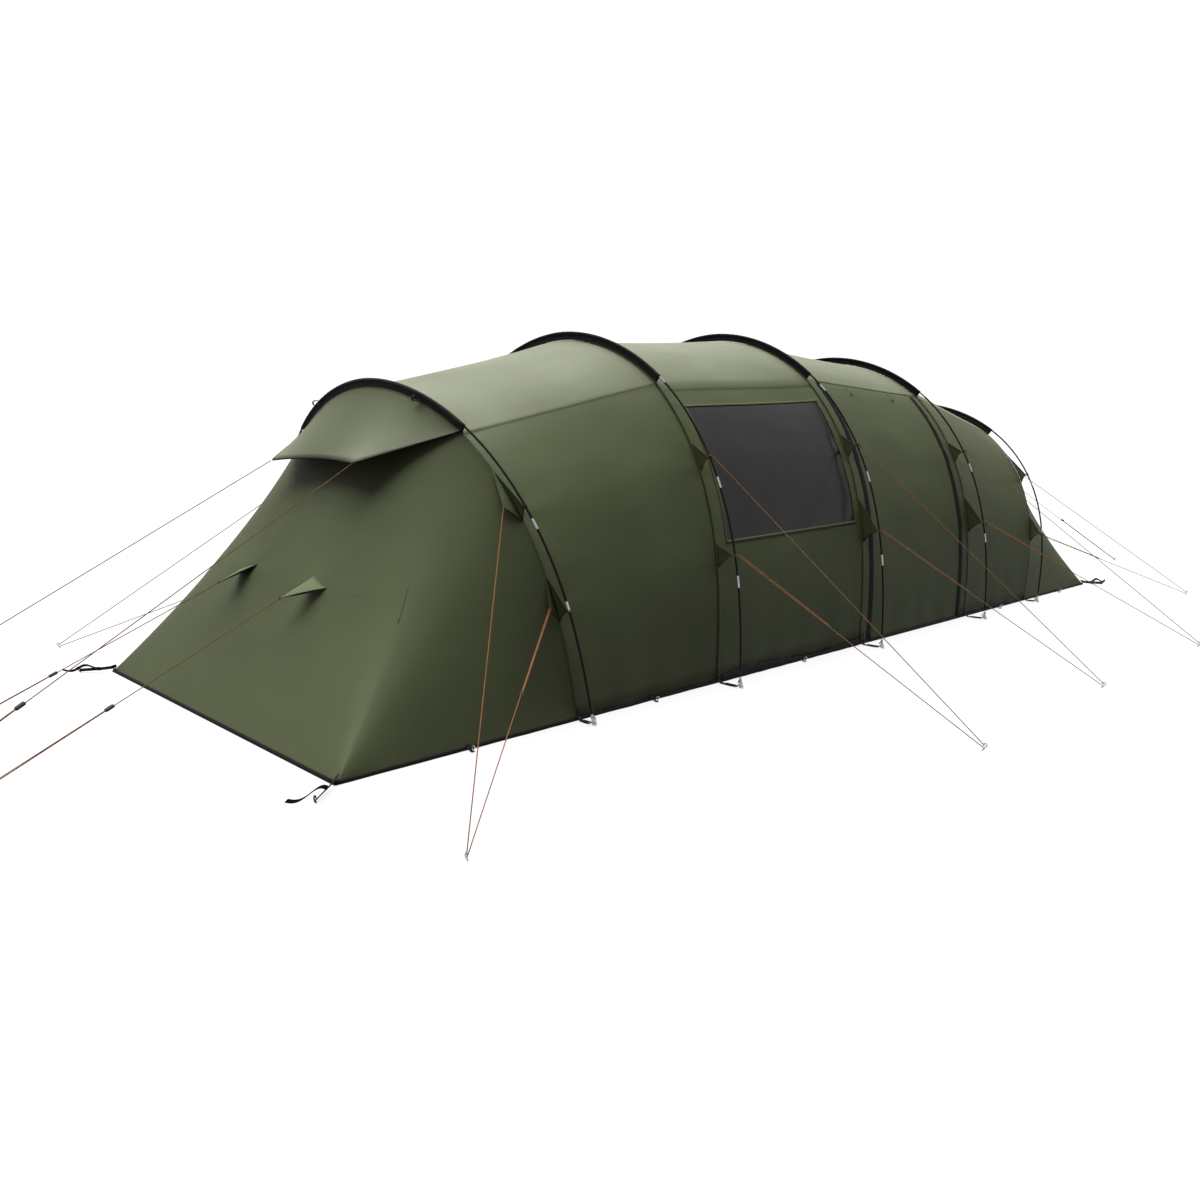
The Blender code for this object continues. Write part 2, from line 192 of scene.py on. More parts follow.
# ---- materials ----------------------------------------------------------------------------
def new_material(name, colour, rough, metal=0.0, sheen=0.0, spec=0.5):
    mat = bpy.data.materials.new(name)
    mat.use_nodes = True
    shader = mat.node_tree.nodes["Principled BSDF"]
    shader.inputs["Base Color"].default_value = (*colour, 1.0)
    shader.inputs["Roughness"].default_value = rough
    shader.inputs["Metallic"].default_value = metal
    shader.inputs["Sheen Weight"].default_value = sheen
    shader.inputs["Sheen Roughness"].default_value = 0.4
    shader.inputs["Specular IOR Level"].default_value = spec
    return mat, mat.node_tree, shader


def node(tree, kind, values=None, **props):
    n = tree.nodes.new(kind)
    for key, value in props.items():
        setattr(n, key, value)
    for key, value in (values or {}).items():
        if isinstance(value, bpy.types.NodeSocket):
            tree.links.new(value, n.inputs[key])
        else:
            n.inputs[key].default_value = value
    return n


def ramp(tree, fac, lo, hi, a, b):
    values = {"Value": fac, "From Min": lo, "From Max": hi, "To Min": a, "To Max": b}
    return node(tree, "ShaderNodeMapRange", values).outputs["Result"]


def maths(tree, op, a, b=0.0):
    return node(tree, "ShaderNodeMath", {0: a, 1: b}, operation=op).outputs[0]


def times(tree, a, b):
    return maths(tree, "MULTIPLY", a, b)


def plus(tree, a, b):
    return maths(tree, "ADD", a, b)


def cloud(tree, where, scale, detail):
    """Soft noise at one place in the object's own space."""
    values = {"Vector": where, "Scale": scale, "Detail": detail}
    return node(tree, "ShaderNodeTexNoise", values).outputs["Fac"]


def attribute(tree, name):
    return node(tree, "ShaderNodeAttribute", attribute_name=name).outputs["Fac"]


def tinted(tree, colour, factor):
    mix = node(tree, "ShaderNodeMix", {6: (*colour, 1.0)}, data_type="RGBA", blend_type="MULTIPLY")
    mix.inputs["Factor"].default_value = 1.0
    combine = node(tree, "ShaderNodeCombineColor", {0: factor, 1: factor, 2: factor})
    tree.links.new(combine.outputs[0], mix.inputs[7])
    return mix.outputs[2]


def blended(tree, share, colour, other):
    values = {0: share, 6: (*colour, 1.0), 7: (*other, 1.0)}
    return node(tree, "ShaderNodeMix", values, data_type="RGBA").outputs[2]


def add_bump(tree, shader, height, strength, distance):
    values = {"Height": height, "Strength": strength, "Distance": distance}
    bump = node(tree, "ShaderNodeBump", values)
    tree.links.new(bump.outputs["Normal"], shader.inputs["Normal"])


def stitch_row(tree, dist, offset):
    away = maths(tree, "ABSOLUTE", maths(tree, "SUBTRACT", dist, offset))
    return maths(tree, "LESS_THAN", away, 0.0006)


def fabric(name, colour, rough=0.62, thread=0.0012, sheen=0.0, strength=0.35, seams=True, painted_top_light=None):
    """Woven cloth; seams adds two rows of stitches; the second colour is painted light: a paler, greyer tint
    where the cloth faces the sky, standing in for skylight and sheen.
    """
    mat, tree, shader = new_material(name, colour, rough, sheen=sheen, spec=0.05)
    coords = node(tree, "ShaderNodeTexCoord")
    where = coords.outputs["Object"]
    fine_noise = cloud(tree, where, 90.0, 3.0)
    shade = times(tree, ramp(tree, cloud(tree, where, 1.7, 4.0), 0.3, 0.7, 0.9, 1.1),
                  ramp(tree, fine_noise, 0.3, 0.7, 0.96, 1.04))
    threads = {"Vector": coords.outputs["UV"], "Scale": 0.314 / thread}
    warp = node(tree, "ShaderNodeTexWave", threads, bands_direction="X")
    weft = node(tree, "ShaderNodeTexWave", threads, bands_direction="Y")
    height = times(tree, maths(tree, "MAXIMUM", warp.outputs["Fac"], weft.outputs["Fac"]), 0.35)
    if seams:
        dist = attribute(tree, "seam_d")
        shade = times(tree, shade, ramp(tree, dist, 0.0, 0.012, 0.80, 1.0))
        run = times(tree, attribute(tree, "seam_t"), 250.0)
        dash = maths(tree, "GREATER_THAN", maths(tree, "FRACT", run), 0.35)
        stitch = times(tree, plus(tree, stitch_row(tree, dist, 0.004), stitch_row(tree, dist, 0.010)), dash)
        shade = times(tree, shade, ramp(tree, stitch, 0.0, 1.0, 1.0, 0.55))
        pucker = times(tree, cloud(tree, where, 42.0, 2.0), ramp(tree, dist, 0.0, 0.05, 1.0, 0.0))
        height = plus(tree, height, times(tree, pucker, 2.2))
        height = plus(tree, height, times(tree, stitch, 0.8))
    height = plus(tree, height, times(tree, cloud(tree, where, 9.0, 3.0), 2.0))
    add_bump(tree, shader, height, strength, 0.0009)
    # Painted light: cloth that faces up is mixed towards a paler, greyer colour, as painted skylight and
    # grazing sheen.
    if painted_top_light:
        share = node(tree, "ShaderNodeMapRange",
                     {"Value": attribute(tree, "crown"), "From Min": 0.64, "From Max": 0.96},
                     interpolation_type="SMOOTHSTEP")
        lit_tint = blended(tree, share.outputs["Result"], colour, painted_top_light)
        scaled = node(tree, "ShaderNodeVectorMath", {0: lit_tint, 3: shade}, operation="SCALE")
        tint = scaled.outputs["Vector"]
    else:
        tint = tinted(tree, colour, shade)
    tree.links.new(tint, shader.inputs["Base Color"])
    grain = ramp(tree, fine_noise, 0.3, 0.7, rough - 0.05, rough + 0.07)
    tree.links.new(grain, shader.inputs["Roughness"])
    return mat


def grained(name, colour, rough, metal=0.0, scale=260.0, vary=0.12, strength=0.25, spec=0.5):
    mat, tree, shader = new_material(name, colour, rough, metal=metal, spec=spec)
    where = node(tree, "ShaderNodeTexCoord").outputs["Object"]
    grain = cloud(tree, where, scale, 4.0)
    wear = cloud(tree, where, 14.0, 5.0)
    shade = times(tree, ramp(tree, grain, 0.3, 0.7, 1.0 - vary, 1.0 + vary),
                  ramp(tree, wear, 0.3, 0.7, 0.92, 1.1))
    add_bump(tree, shader, grain, strength, 0.0005)
    tree.links.new(tinted(tree, colour, shade), shader.inputs["Base Color"])
    worn = ramp(tree, wear, 0.3, 0.7, rough - 0.08, rough + 0.1)
    tree.links.new(worn, shader.inputs["Roughness"])
    return mat


def braid(name, colour, tracer):
    """Braided cord: fine crossing strands with a second colour of tracer thread."""
    mat, tree, shader = new_material(name, colour, 0.75, spec=0.05)
    where = node(tree, "ShaderNodeTexCoord").outputs["Object"]
    cross = node(tree, "ShaderNodeTexVoronoi", {"Vector": where, "Scale": 620.0}).outputs["Distance"]
    share = plus(tree, cross, times(tree, cloud(tree, where, 55.0, 1.0), 0.6))
    pick = maths(tree, "GREATER_THAN", share, 0.78)
    tree.links.new(blended(tree, pick, colour, tracer), shader.inputs["Base Color"])
    add_bump(tree, shader, cross, 0.7, 0.0006)
    return mat


def film(name, colour):
    """Dark glossy window film with a faint haze."""
    mat, tree, shader = new_material(name, colour, 0.22, spec=0.14)
    where = node(tree, "ShaderNodeTexCoord").outputs["Object"]
    haze = cloud(tree, where, 2.6, 5.0)
    add_bump(tree, shader, cloud(tree, where, 7.0, 1.0), 0.3, 0.006)
    shade = ramp(tree, haze, 0.3, 0.7, 0.85, 1.2)
    tree.links.new(tinted(tree, colour, shade), shader.inputs["Base Color"])
    tree.links.new(ramp(tree, haze, 0.3, 0.7, 0.12, 0.24), shader.inputs["Roughness"])
    return mat


OLIVE = (0.0122, 0.0145, 0.0070)
# A paler, greyer olive painted on cloth that faces the sky: painted skylight and sheen.
PAINTED_TOP_LIGHT = (0.0280, 0.0303, 0.0212)
M = {
    "fly": fabric("fly_fabric", OLIVE, rough=0.58, painted_top_light=PAINTED_TOP_LIGHT),
    # The tabs' lighter olive is painted light: it stands in for their tops catching the sky.
    "tab": fabric("tab_fabric", (0.0175, 0.0202, 0.0108), rough=0.6, seams=False),
    "flap": fabric("flap_fabric", (0.0108, 0.0130, 0.0056), rough=0.6, seams=False),
    "sleeve": fabric("sleeve_fabric", (0.0027, 0.0028, 0.0029), rough=0.7, thread=0.0016, sheen=0.02),
    "band": fabric("ground_band", (0.0022, 0.0023, 0.0024), rough=0.6, seams=False),
    "inner": fabric("inner_fabric", (0.30, 0.295, 0.26), rough=0.8, seams=False),
    "floor_sheet": fabric("groundsheet_fabric", (0.05, 0.052, 0.056), rough=0.5, thread=0.003, seams=False),
    "web": fabric("webbing", (0.0028, 0.0028, 0.0030), rough=0.75, thread=0.002, seams=False, strength=0.7),
    "cord": braid("guy_cord", (0.052, 0.0135, 0.0042), (0.0185, 0.0140, 0.0070)),
    "pole": grained("pole_steel", (0.0018, 0.0018, 0.0019), 0.36, scale=300.0, spec=0.06),
    "silver": grained("ferrule_steel", (0.30, 0.31, 0.32), 0.30, metal=1.0, scale=180.0, vary=0.10),
    "peg": grained("peg_steel", (0.34, 0.35, 0.36), 0.33, metal=1.0, scale=220.0, vary=0.12),
    "plastic": grained("moulded_plastic", (0.0030, 0.0030, 0.0033), 0.42, scale=500.0, strength=0.35,
                       spec=0.25),
    "zip": grained("zip_teeth", (0.0030, 0.0030, 0.0033), 0.5, scale=700.0, strength=0.6, spec=0.2),
    "film": film("window_film", (0.0013, 0.0014, 0.0014)),
}

STUFF = bpy.data.collections.new("visual")
bpy.context.scene.collection.children.link(STUFF)


def add(name, data, mat, body=ROOT, cad=()):
    obj = bpy.data.objects.new(name, data)
    STUFF.objects.link(obj)
    data.materials.append(mat)
    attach(obj, body)
    if cad:
        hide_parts(*cad)
    return obj


# ---- cords first --------------------------------------------------------------------------
def cord_curve(name, pts, cad):
    curve = bpy.data.curves.new(name, "CURVE")
    curve.dimensions = "3D"
    curve.bevel_depth = CORD_R
    curve.bevel_resolution = 2
    curve.use_fill_caps = True
    spline = curve.splines.new("POLY")
    spline.points.add(len(pts) - 1)
    for k, p in enumerate(pts):
        spline.points[k].co = (*p, 1.0)
    obj = add(name, curve, M["cord"], ROOT, cad)


def straight(a, b, n=8):
    return [a.lerp(b, k / n) for k in range(n + 1)]


GUYS = {}


def side_guys(i, tag, side):
    up = arch_point(i, CLIP_UP, -CLIP_REACH)
    low = arch_point(i, CLIP_LOW[i], -CLIP_REACH)
    if i in (0, 4):
        way = -1.0 if i == 0 else 1.0
        up = Vector((way * END_GUY_UP[0], -END_GUY_UP[1], END_GUY_UP[2]))
        low = Vector((way * END_GUY_LOW[0], -END_GUY_LOW[1], END_GUY_LOW[2]))
    up.y *= -side
    low.y *= -side
    px, py = SIDE_PEGS[i]
    peg = Vector((px, side * py, 0.014))
    cad = "guy_%d_%s" % (i + 1, tag)
    top_end = peg + Vector((0.0, 0.0, 0.010))
    low_end = peg + Vector((0.0, 0.0, -0.003))
    cord_curve(cad + "_upper", straight(up, top_end), [cad])
    cord_curve(cad + "_lower", straight(low, low_end), [cad])
    grip = low.lerp(low_end, 0.42)
    shift = Vector((0.011, 0.0, 0.005))
    cord_curve(cad + "_return", straight(low + shift, grip + shift * 0.6), [])
    GUYS[(i, tag)] = (up, low, peg, grip, (low_end - low).normalized())


def end_guys(word, way, tag, side):
    px, py = HOOD_PEG_FRONT if way < 0 else HOOD_PEG_REAR
    rows = (("hood_guy", (way * HOOD_CORNER[0], side * HOOD_CORNER[1], HOOD_CORNER[2]), (px, side * py, 0.01),
             0.715 if way < 0 else 0.6),
            ("tab_guy", (way * TAB_TIP[0], side * TAB_TIP[1], TAB_TIP[2]),
             (way * TAB_PEG[0], side * TAB_PEG[1], 0.01), 0.62))
    for kind, start, peg, at in rows:
        start = Vector(start)
        peg = Vector(peg)
        go = (peg - start).normalized()
        a = start + go * 0.004
        across = go.cross(Vector((0, 0, 1))).normalized() * 0.007
        runner = start.lerp(peg, at)
        near = peg - go * 0.003
        loop = [peg - go * 0.010, near + across * 0.25, peg + across, near + across * 1.75,
                peg - go * 0.012 + across * 2.0]
        back = straight(peg - go * 0.02 + across * 2.0, runner + across * 1.1, 6)
        name = "%s_%s_%s" % (kind, word, tag)
        cord_curve(name + "_cord", straight(a, peg - go * 0.02) + loop + back, [name])
        GUYS[name] = (start, peg, runner, go, across)


for n in range(5):
    for tag, side in SIDES:
        side_guys(n, tag, side)
for _, word, way in ENDS:
    for tag, side in SIDES:
        end_guys(word, way, tag, side)


# ---- mesh helpers -------------------------------------------------------------------------
class Shape:
    """Collects solids and strips of one material into one mesh."""

    def __init__(self):
        self.verts = []
        self.faces = []

    def pipe(self, pts, radius, sides=10, caps=True):
        base = len(self.verts)
        count = len(pts)
        radii = radius if isinstance(radius, (list, tuple)) else [radius] * count
        last = None
        for k, p in enumerate(pts):
            t = (pts[min(k + 1, count - 1)] - pts[max(k - 1, 0)]).normalized()
            if last is None:
                n = square_to(t)
            else:
                n = (last - t * last.dot(t)).normalized()
            last = n
            b = t.cross(n)
            for s in range(sides):
                a = 2 * math.pi * s / sides
                self.verts.append(p + (n * math.cos(a) + b * math.sin(a)) * radii[k])
        for k in range(count - 1):
            for s in range(sides):
                a = base + k * sides + s
                b = base + k * sides + (s + 1) % sides
                self.faces.append((a, b, b + sides, a + sides))
        if caps:
            self.faces.append(tuple(base + s for s in reversed(range(sides))))
            self.faces.append(tuple(base + (count - 1) * sides + s for s in range(sides)))

    def ring(self, centre, axis, radius, thick, n=18, sides=8):
        axis = axis.normalized()
        u = square_to(axis)
        v = axis.cross(u)
        base = len(self.verts)
        for k in range(n):
            a = 2 * math.pi * k / n
            out = u * math.cos(a) + v * math.sin(a)
            c = centre + out * radius
            d = out.normalized()
            for s in range(sides):
                b = 2 * math.pi * s / sides
                self.verts.append(c + (d * math.cos(b) + axis * math.sin(b)) * thick)
        for k in range(n):
            for s in range(sides):
                a = base + k * sides + s
                b = base + k * sides + (s + 1) % sides
                c = base + ((k + 1) % n) * sides + (s + 1) % sides
                d = base + ((k + 1) % n) * sides + s
                self.faces.append((a, b, c, d))

    def strap(self, pts, wide, thick):
        """A flat closed strap along pts; wide holds half-width vectors, thick half-thickness vectors."""
        base = len(self.verts)
        for k, p in enumerate(pts):
            w = wide[k] if isinstance(wide, list) else wide
            t = thick[k] if isinstance(thick, list) else thick
            self.verts += [p - w - t, p + w - t, p + w + t, p - w + t]
        for k in range(len(pts) - 1):
            for s in range(4):
                a = base + k * 4 + s
                b = base + k * 4 + (s + 1) % 4
                self.faces.append((a, b, b + 4, a + 4))
        self.faces.append((base + 3, base + 2, base + 1, base))
        e = base + (len(pts) - 1) * 4
        self.faces.append((e, e + 1, e + 2, e + 3))

    def block(self, centre, x, y, z):
        self.strap([centre - z, centre + z], x, y)

    def make(self, name, mat, body=ROOT, cad=(), bevel=0.0):
        mesh = bpy.data.meshes.new(name)
        mesh.from_pydata([tuple(v) for v in self.verts], [], self.faces)
        bm = bmesh.new()
        bm.from_mesh(mesh)
        bmesh.ops.recalc_face_normals(bm, faces=bm.faces)
        bm.to_mesh(mesh)
        bm.free()
        for poly in mesh.polygons:
            poly.use_smooth = True
        obj = add(name, mesh, mat, body, cad)
        if bevel:
            mod = obj.modifiers.new("edge", "BEVEL")
            mod.width = bevel
            mod.segments = 2
            mod.limit_method = "ANGLE"
        return obj


def relax(rows, steps, hr, hc):
    """Smooth a grid of points as a stretched membrane between its four fixed edges."""
    p = np.array([[tuple(v) for v in row] for row in rows])
    wr = 1.0 / np.maximum(np.diff(np.array(hr)), 1e-6)
    wc = 1.0 / np.maximum(np.diff(np.array(hc)), 1e-6)
    up, down = wr[:-1, None, None], wr[1:, None, None]
    left, right = wc[None, :-1, None], wc[None, 1:, None]
    total = up + down + left + right
    for _ in range(steps):
        q = up * p[:-2, 1:-1] + down * p[2:, 1:-1] + left * p[1:-1, :-2] + right * p[1:-1, 2:]
        p[1:-1, 1:-1] = q / total
    return [[Vector(v) for v in row] for row in p.tolist()]


def sheet_mesh(name, rows, runs, dists, keep=None, metres=None, top_light_boost=0.0):
    """rows of points, with a seam distance and a run along the seam at each one."""
    mesh = bpy.data.meshes.new(name)
    width = len(rows[0])
    verts = [tuple(p) for row in rows for p in row]
    faces = []
    for r in range(len(rows) - 1):
        for c in range(width - 1):
            if keep is None or keep(r, c):
                k = r * width + c
                faces.append((k, k + 1, k + width + 1, k + width))
    mesh.from_pydata(verts, [], faces)
    # crown holds how much each point faces up or down, raised by the extra share passed in; the fly cloth
    # uses it to paint its paler tint as painted skylight and sheen.
    layers = (("seam_d", [v for row in dists for v in row]), ("seam_t", [v for row in runs for v in row]),
              ("crown", [abs(v.normal.z) + top_light_boost for v in mesh.vertices]))
    for layer, values in layers:
        mesh.attributes.new(layer, "FLOAT", "POINT").data.foreach_set("value", values)
    arc = [0.0]
    mid = width // 2
    for r in range(1, len(rows)):
        arc.append(arc[-1] + (rows[r][mid] - rows[r - 1][mid]).length)
    uv = mesh.uv_layers.new(name="metres")
    for loop in mesh.loops:
        r, c = divmod(loop.vertex_index, width)
        x = metres[r][c] if metres else rows[r][c].x
        uv.data[loop.index].uv = (x, arc[r])
    bm = bmesh.new()
    bm.from_mesh(mesh)
    bmesh.ops.remove_doubles(bm, verts=bm.verts, dist=0.00005)
    bmesh.ops.delete(bm, geom=[v for v in bm.verts if not v.link_faces], context="VERTS")
    bmesh.ops.recalc_face_normals(bm, faces=bm.faces)
    bm.to_mesh(mesh)
    bm.free()
    for poly in mesh.polygons:
        poly.use_smooth = True
    return mesh


def thicken(obj, thick=0.0009, offset=-1.0):
    mod = obj.modifiers.new("cloth_thickness", "SOLIDIFY")
    mod.thickness = thick
    mod.offset = offset
    mod.use_even_offset = False


# ---- how taut fabric ripples --------------------------------------------------------------
def arch_pulls(i, u_metres, deg):
    """Small folds that run out of the pole clips and along the arch seam."""
    out = 0.0
    n = near_deg(deg)
    for centre, size in ((CLIP_UP, 0.0035), (CLIP_LOW[i], 0.003)):
        dz = (n - centre) * 0.026
        r = math.hypot(u_metres, dz)
        ang = math.atan2(dz, u_metres + 0.02)
        out += size * math.exp(-r / 0.22) * math.cos(ang * 5.0)
    out += 0.0016 * math.exp(-u_metres / 0.09) * math.sin(deg * 2.1 + i * 1.7)
    return out


def bay_ripple(i, u, deg):
    length = ARCH_X[i + 1] - ARCH_X[i]
    a = u * length
    b = (1.0 - u) * length
    n = near_deg(deg)
    wave = noise.noise(Vector((u * 1.6 + i * 5.1, deg * 0.075, 3.0))) * 0.0055
    wave += noise.noise(Vector((u * 4.2 + i * 2.3, deg * 0.21, 9.0))) * 0.0018
    wave *= math.sin(math.pi * min(1.0, max(0.0, u))) ** 0.5
    foot = math.exp(-n / 5.0)
    hem = 0.004 * foot * math.sin(u * length * 21.0 + i)
    out = wave + arch_pulls(i, a, deg) + arch_pulls(i + 1, b, deg)
    return (out + hem * (1.0 if n > 0.3 else 0.5)) * min(1.0, min(a, b) / 0.02) - 0.0004


def eave_of(i):
    """The sewn line between side and roof panel sits a little lower on the window bay."""
    return EAVE - 2.4 if i == 1 else EAVE


def bay_stations(extra=(), eave=EAVE):
    degs = set(round(v, 4) for v in span(0.0, 180.0, 150))
    for e in (eave, 180.0 - eave):
        for d in (-0.55, -0.3, -0.12, 0.0, 0.12, 0.3, 0.55):
            degs.add(round(e + d, 4))
    for e in extra:
        for d in (0.0, 0.25, 0.6) if e < 90 else (0.0, -0.25, -0.6):
            degs.add(round(e + d, 4))
            degs.add(round(e - d, 4))
    return sorted(d for d in degs if 0.0 <= d <= 180.0)


def bay_us(i, extra=()):
    length = ARCH_X[i + 1] - ARCH_X[i]
    us = set(round(v, 5) for v in span(0.0, 1.0, 42))
    us.discard(0.0)
    us.discard(1.0)
    for m in (SEAM_GAP, 0.006, 0.013, 0.026, 0.05):
        us.add(m / length)
        us.add(1.0 - m / length)
    for e in extra:
        for m in (0.0, 0.006, 0.016):
            us.add(e - m / length)
            us.add(e + m / length)
    return sorted(us)


def eave_step(deg, eave=EAVE):
    """The roof panel is lapped over the side panel at the eave seam."""
    n = near_deg(deg)
    t = (n - eave) / 0.4
    return 0.0022 / (1.0 + math.exp(-max(-30.0, min(30.0, t * 3.0)))) - 0.0011


def make_bay(i, hole=None, extra_d=()):
    """One bay of the fly; hole holds the opening's two shares along the bay and its two arch angles."""
    name = "fly_bay_%d" % (i + 1)
    length = ARCH_X[i + 1] - ARCH_X[i]
    eave = eave_of(i)
    degs = bay_stations(extra_d, eave)
    us = bay_us(i, hole[:2] if hole else ())
    rows, dists, runs = [], [], []
    for d in degs:
        row, dist, run = [], [], []
        for u in us:
            lift = bay_ripple(i, u, d) + eave_step(d, eave)
            row.append(bay_point(i, u, d, lift))
            to_arch = min(u, 1.0 - u) * length
            to_eave = abs(near_deg(d) - eave) * GIRTH_PER_DEG
            to_eave = to_eave if near_deg(d) < eave else to_eave * 0.6
            edges = [to_arch, to_eave, near_deg(d) * 0.06]
            if hole:
                du = max(hole[0] - u, u - hole[1]) * length
                dd = max(hole[2] - near_deg(d), near_deg(d) - hole[3]) * GIRTH_PER_DEG
                edges.append(max(du, dd, 0.0) if du > -0.02 or dd > -0.02 else 1.0)
            low = min(edges)
            dist.append(low)
            run.append(d * GIRTH_PER_DEG if low == to_arch else u * length)
        rows.append(row)
        dists.append(dist)
        runs.append(run)

    def keep(r, c):
        if not hole:
            return True
        mu = 0.5 * (us[c] + us[c + 1])
        md = near_deg(0.5 * (degs[r] + degs[r + 1]))
        return not (hole[0] < mu < hole[1] and hole[2] < md < hole[3])

    mesh = sheet_mesh(name + "_fabric", rows, runs, dists, keep)
    obj = add(name + "_fabric", mesh, M["fly"], ROOT, [name])
    thicken(obj)


make_bay(0)
make_bay(3)
w_lo, w_hi = WINDOW_U
make_bay(1, (w_lo, w_hi, *WINDOW_DEG), (*WINDOW_DEG, 180 - WINDOW_DEG[0], 180 - WINDOW_DEG[1]))
d_lo, d_hi = DOOR_U
make_bay(2, (d_lo, d_hi, -1.0, EAVE))


def within(values, lo, hi):
    """The values between lo and hi, with both ends put in."""
    return [lo] + [v for v in values if lo + 1e-4 < v < hi - 1e-4] + [hi]


def make_patch(name, i, us, degs, far, mat, body, cad, lift=0.0):
    length = ARCH_X[i + 1] - ARCH_X[i]
    rows, dists, runs = [], [], []
    for d in degs:
        dd = 180.0 - d if far else d
        rows.append([bay_point(i, u, dd, bay_ripple(i, u, dd) + lift) for u in us])
        dist = []
        for u in us:
            side = min(u - us[0], us[-1] - u) * length
            ends = min(d - degs[0], degs[-1] - d) * 0.04
            dist.append(min(side, ends))
        dists.append(dist)
        runs.append([d * 0.04 + u for u in us])
    mesh = sheet_mesh(name, rows, runs, dists)
    obj = add(name, mesh, mat, body, [cad])
    thicken(obj)


def fine(lo, hi, n, edge):
    """Even steps, with two close ones at each end for the hem."""
    inner = span(lo, hi, n)
    return sorted(set([lo + edge, lo + 2 * edge, hi - edge, hi - 2 * edge] + inner))


EDGE_GAP = 0.0015 / BAY_LENGTH
for far, (tag, side) in zip((False, True), SIDES):
    make_patch("window_%s_film" % tag, 1, within(bay_us(1, (w_lo, w_hi)), w_lo + EDGE_GAP, w_hi - EDGE_GAP),
               within(bay_stations(WINDOW_DEG), WINDOW_DEG[0] + 0.02, WINDOW_DEG[1] - 0.02),
               far, M["film"], ROOT, "window_" + tag, lift=-0.0006)
    make_patch("door_%s_fabric" % tag, 2, fine(d_lo + EDGE_GAP, d_hi - EDGE_GAP, 36, 0.006),
               fine(0.0, EAVE - 0.24, 46, 0.2), far, M["fly"], "door_" + tag, "door_" + tag)


# ---- sloping ends -------------------------------------------------------------------------
def base_outline(i, deg, sign):
    near = near_deg(deg)
    side = -1.0 if deg < 90.0 else 1.0
    foot_x = abs(ARCH_X[i])
    y = side * FLY_HALF_WIDTH
    if near < SIDE_END:
        return Vector((sign * (foot_x + (FLY_HALF_LENGTH - foot_x) * near / SIDE_END), y, 0.0))
    if near < CONE_END:
        return Vector((sign * FLY_HALF_LENGTH, y, 0.0))
    return Vector((sign * FLY_HALF_LENGTH, y * (90.0 - near) / (90.0 - CONE_END), 0.0))


def end_point(i, deg, v, sign):
    p = fly_point(i, deg).lerp(base_outline(i, deg, sign), v)
    near = near_deg(deg)
    face = min(1.0, max(0.0, (near - 40.0) / 40.0))
    inward = Vector((-sign * 0.86, 0.0, -0.5)) * face
    side = 1.0 if deg < 90.0 else -1.0
    inward += Vector((-sign * 0.2, side * 0.75, 0.0)) * (1.0 - face) * min(1.0, near / 30.0)
    return p + inward * END_HOLLOW * 4.0 * v * (1.0 - v)


END_SKIN = {}


def make_end(i, word, sign):
    degs = span(0.0, 180.0, 120)
    vs = sorted(set([SEAM_GAP / 1.3, 0.004, 0.010, 0.02, 0.035, 0.988, 0.976, 0.994] + span(0.04, 1.0, 34)))
    rows = [[end_point(i, d, v, sign) for v in vs] for d in degs]
    rows = relax(rows, 220, [d * GIRTH_PER_DEG for d in degs], [v * 1.7 for v in vs])
    dists, runs = [], []
    count = len(degs)
    for r, d in enumerate(degs):
        n = near_deg(d)
        for c, v in enumerate(vs):
            p = rows[r][c]
            across = rows[min(r + 1, count - 1)][c] - rows[max(r - 1, 0)][c]
            down = rows[r][min(c + 1, len(vs) - 1)] - rows[r][max(c - 1, 0)]
            out = across.cross(down)
            out = out.normalized() if out.length > 1e-10 else Vector((sign, 0, 0))
            if out.dot(Vector((sign * 0.8, (p.y > 0) - (p.y < 0), 0.5))) < 0:
                out = -out
            wave = noise.noise(Vector((p.y * 0.9, p.z * 1.3, 4.0 + sign))) * 0.007
            wave += noise.noise(Vector((p.y * 3.0, p.z * 2.6, 14.0 + sign))) * 0.0022
            wave *= math.sin(math.pi * min(1.0, v)) ** 0.6
            pull = 0.0
            for k in (-1.0, 1.0):
                dy = p.y - k * TAB_ROOT[0]
                dz = p.z - TAB_ROOT[1]
                away = math.hypot(dy, dz)
                pull += 0.008 * math.exp(-(away / 0.10) ** 2)
                pull += 0.0028 * math.exp(-away / 0.25) * math.cos(math.atan2(dz, dy) * 6)
            fan = 0.0011 * math.sin(n * 0.55) * math.sin(math.pi * v) * math.exp(-((n - 45.0) / 14.0) ** 2)
            hem = 0.0022 * math.exp(-(1 - v) * 12.0) * math.sin(d * 1.9)
            size = wave + pull * min(1.0, (n / 70.0) ** 3) + fan * 0.6 + hem
            rows[r][c] = p + out * (size * min(1.0, v / 0.02))
            rows[r][c].z = max(rows[r][c].z, 0.0)
        reach = (rows[r][-1] - rows[r][0]).length
        dists.append([min(v, 1.0 - v) * max(reach, 0.05) for v in vs])
        runs.append([d * GIRTH_PER_DEG for v in vs])
    name = "end_%s_fabric" % word
    mesh = sheet_mesh(name, rows, runs, dists, metres=[[p.y for p in row] for row in rows])
    obj = add(name, mesh, M["fly"], ROOT, ["end_" + word])
    thicken(obj)
    corners = [v.co.copy() for v in mesh.vertices]
    END_SKIN[word] = BVHTree.FromPolygons(corners, [tuple(f.vertices) for f in mesh.polygons])


for i_end, word, way in ENDS:
    make_end(i_end, word, way)


# ---- vent hoods ---------------------------------------------------------------------------
def along(path, t):
    """The point at the share t of the path's length."""
    lengths = steps(path)
    want = t * sum(lengths)
    for k, size in enumerate(lengths):
        if want <= size or k == len(lengths) - 1:
            return path[k].lerp(path[k + 1], min(1.0, want / size))
        want -= size
    return path[-1]


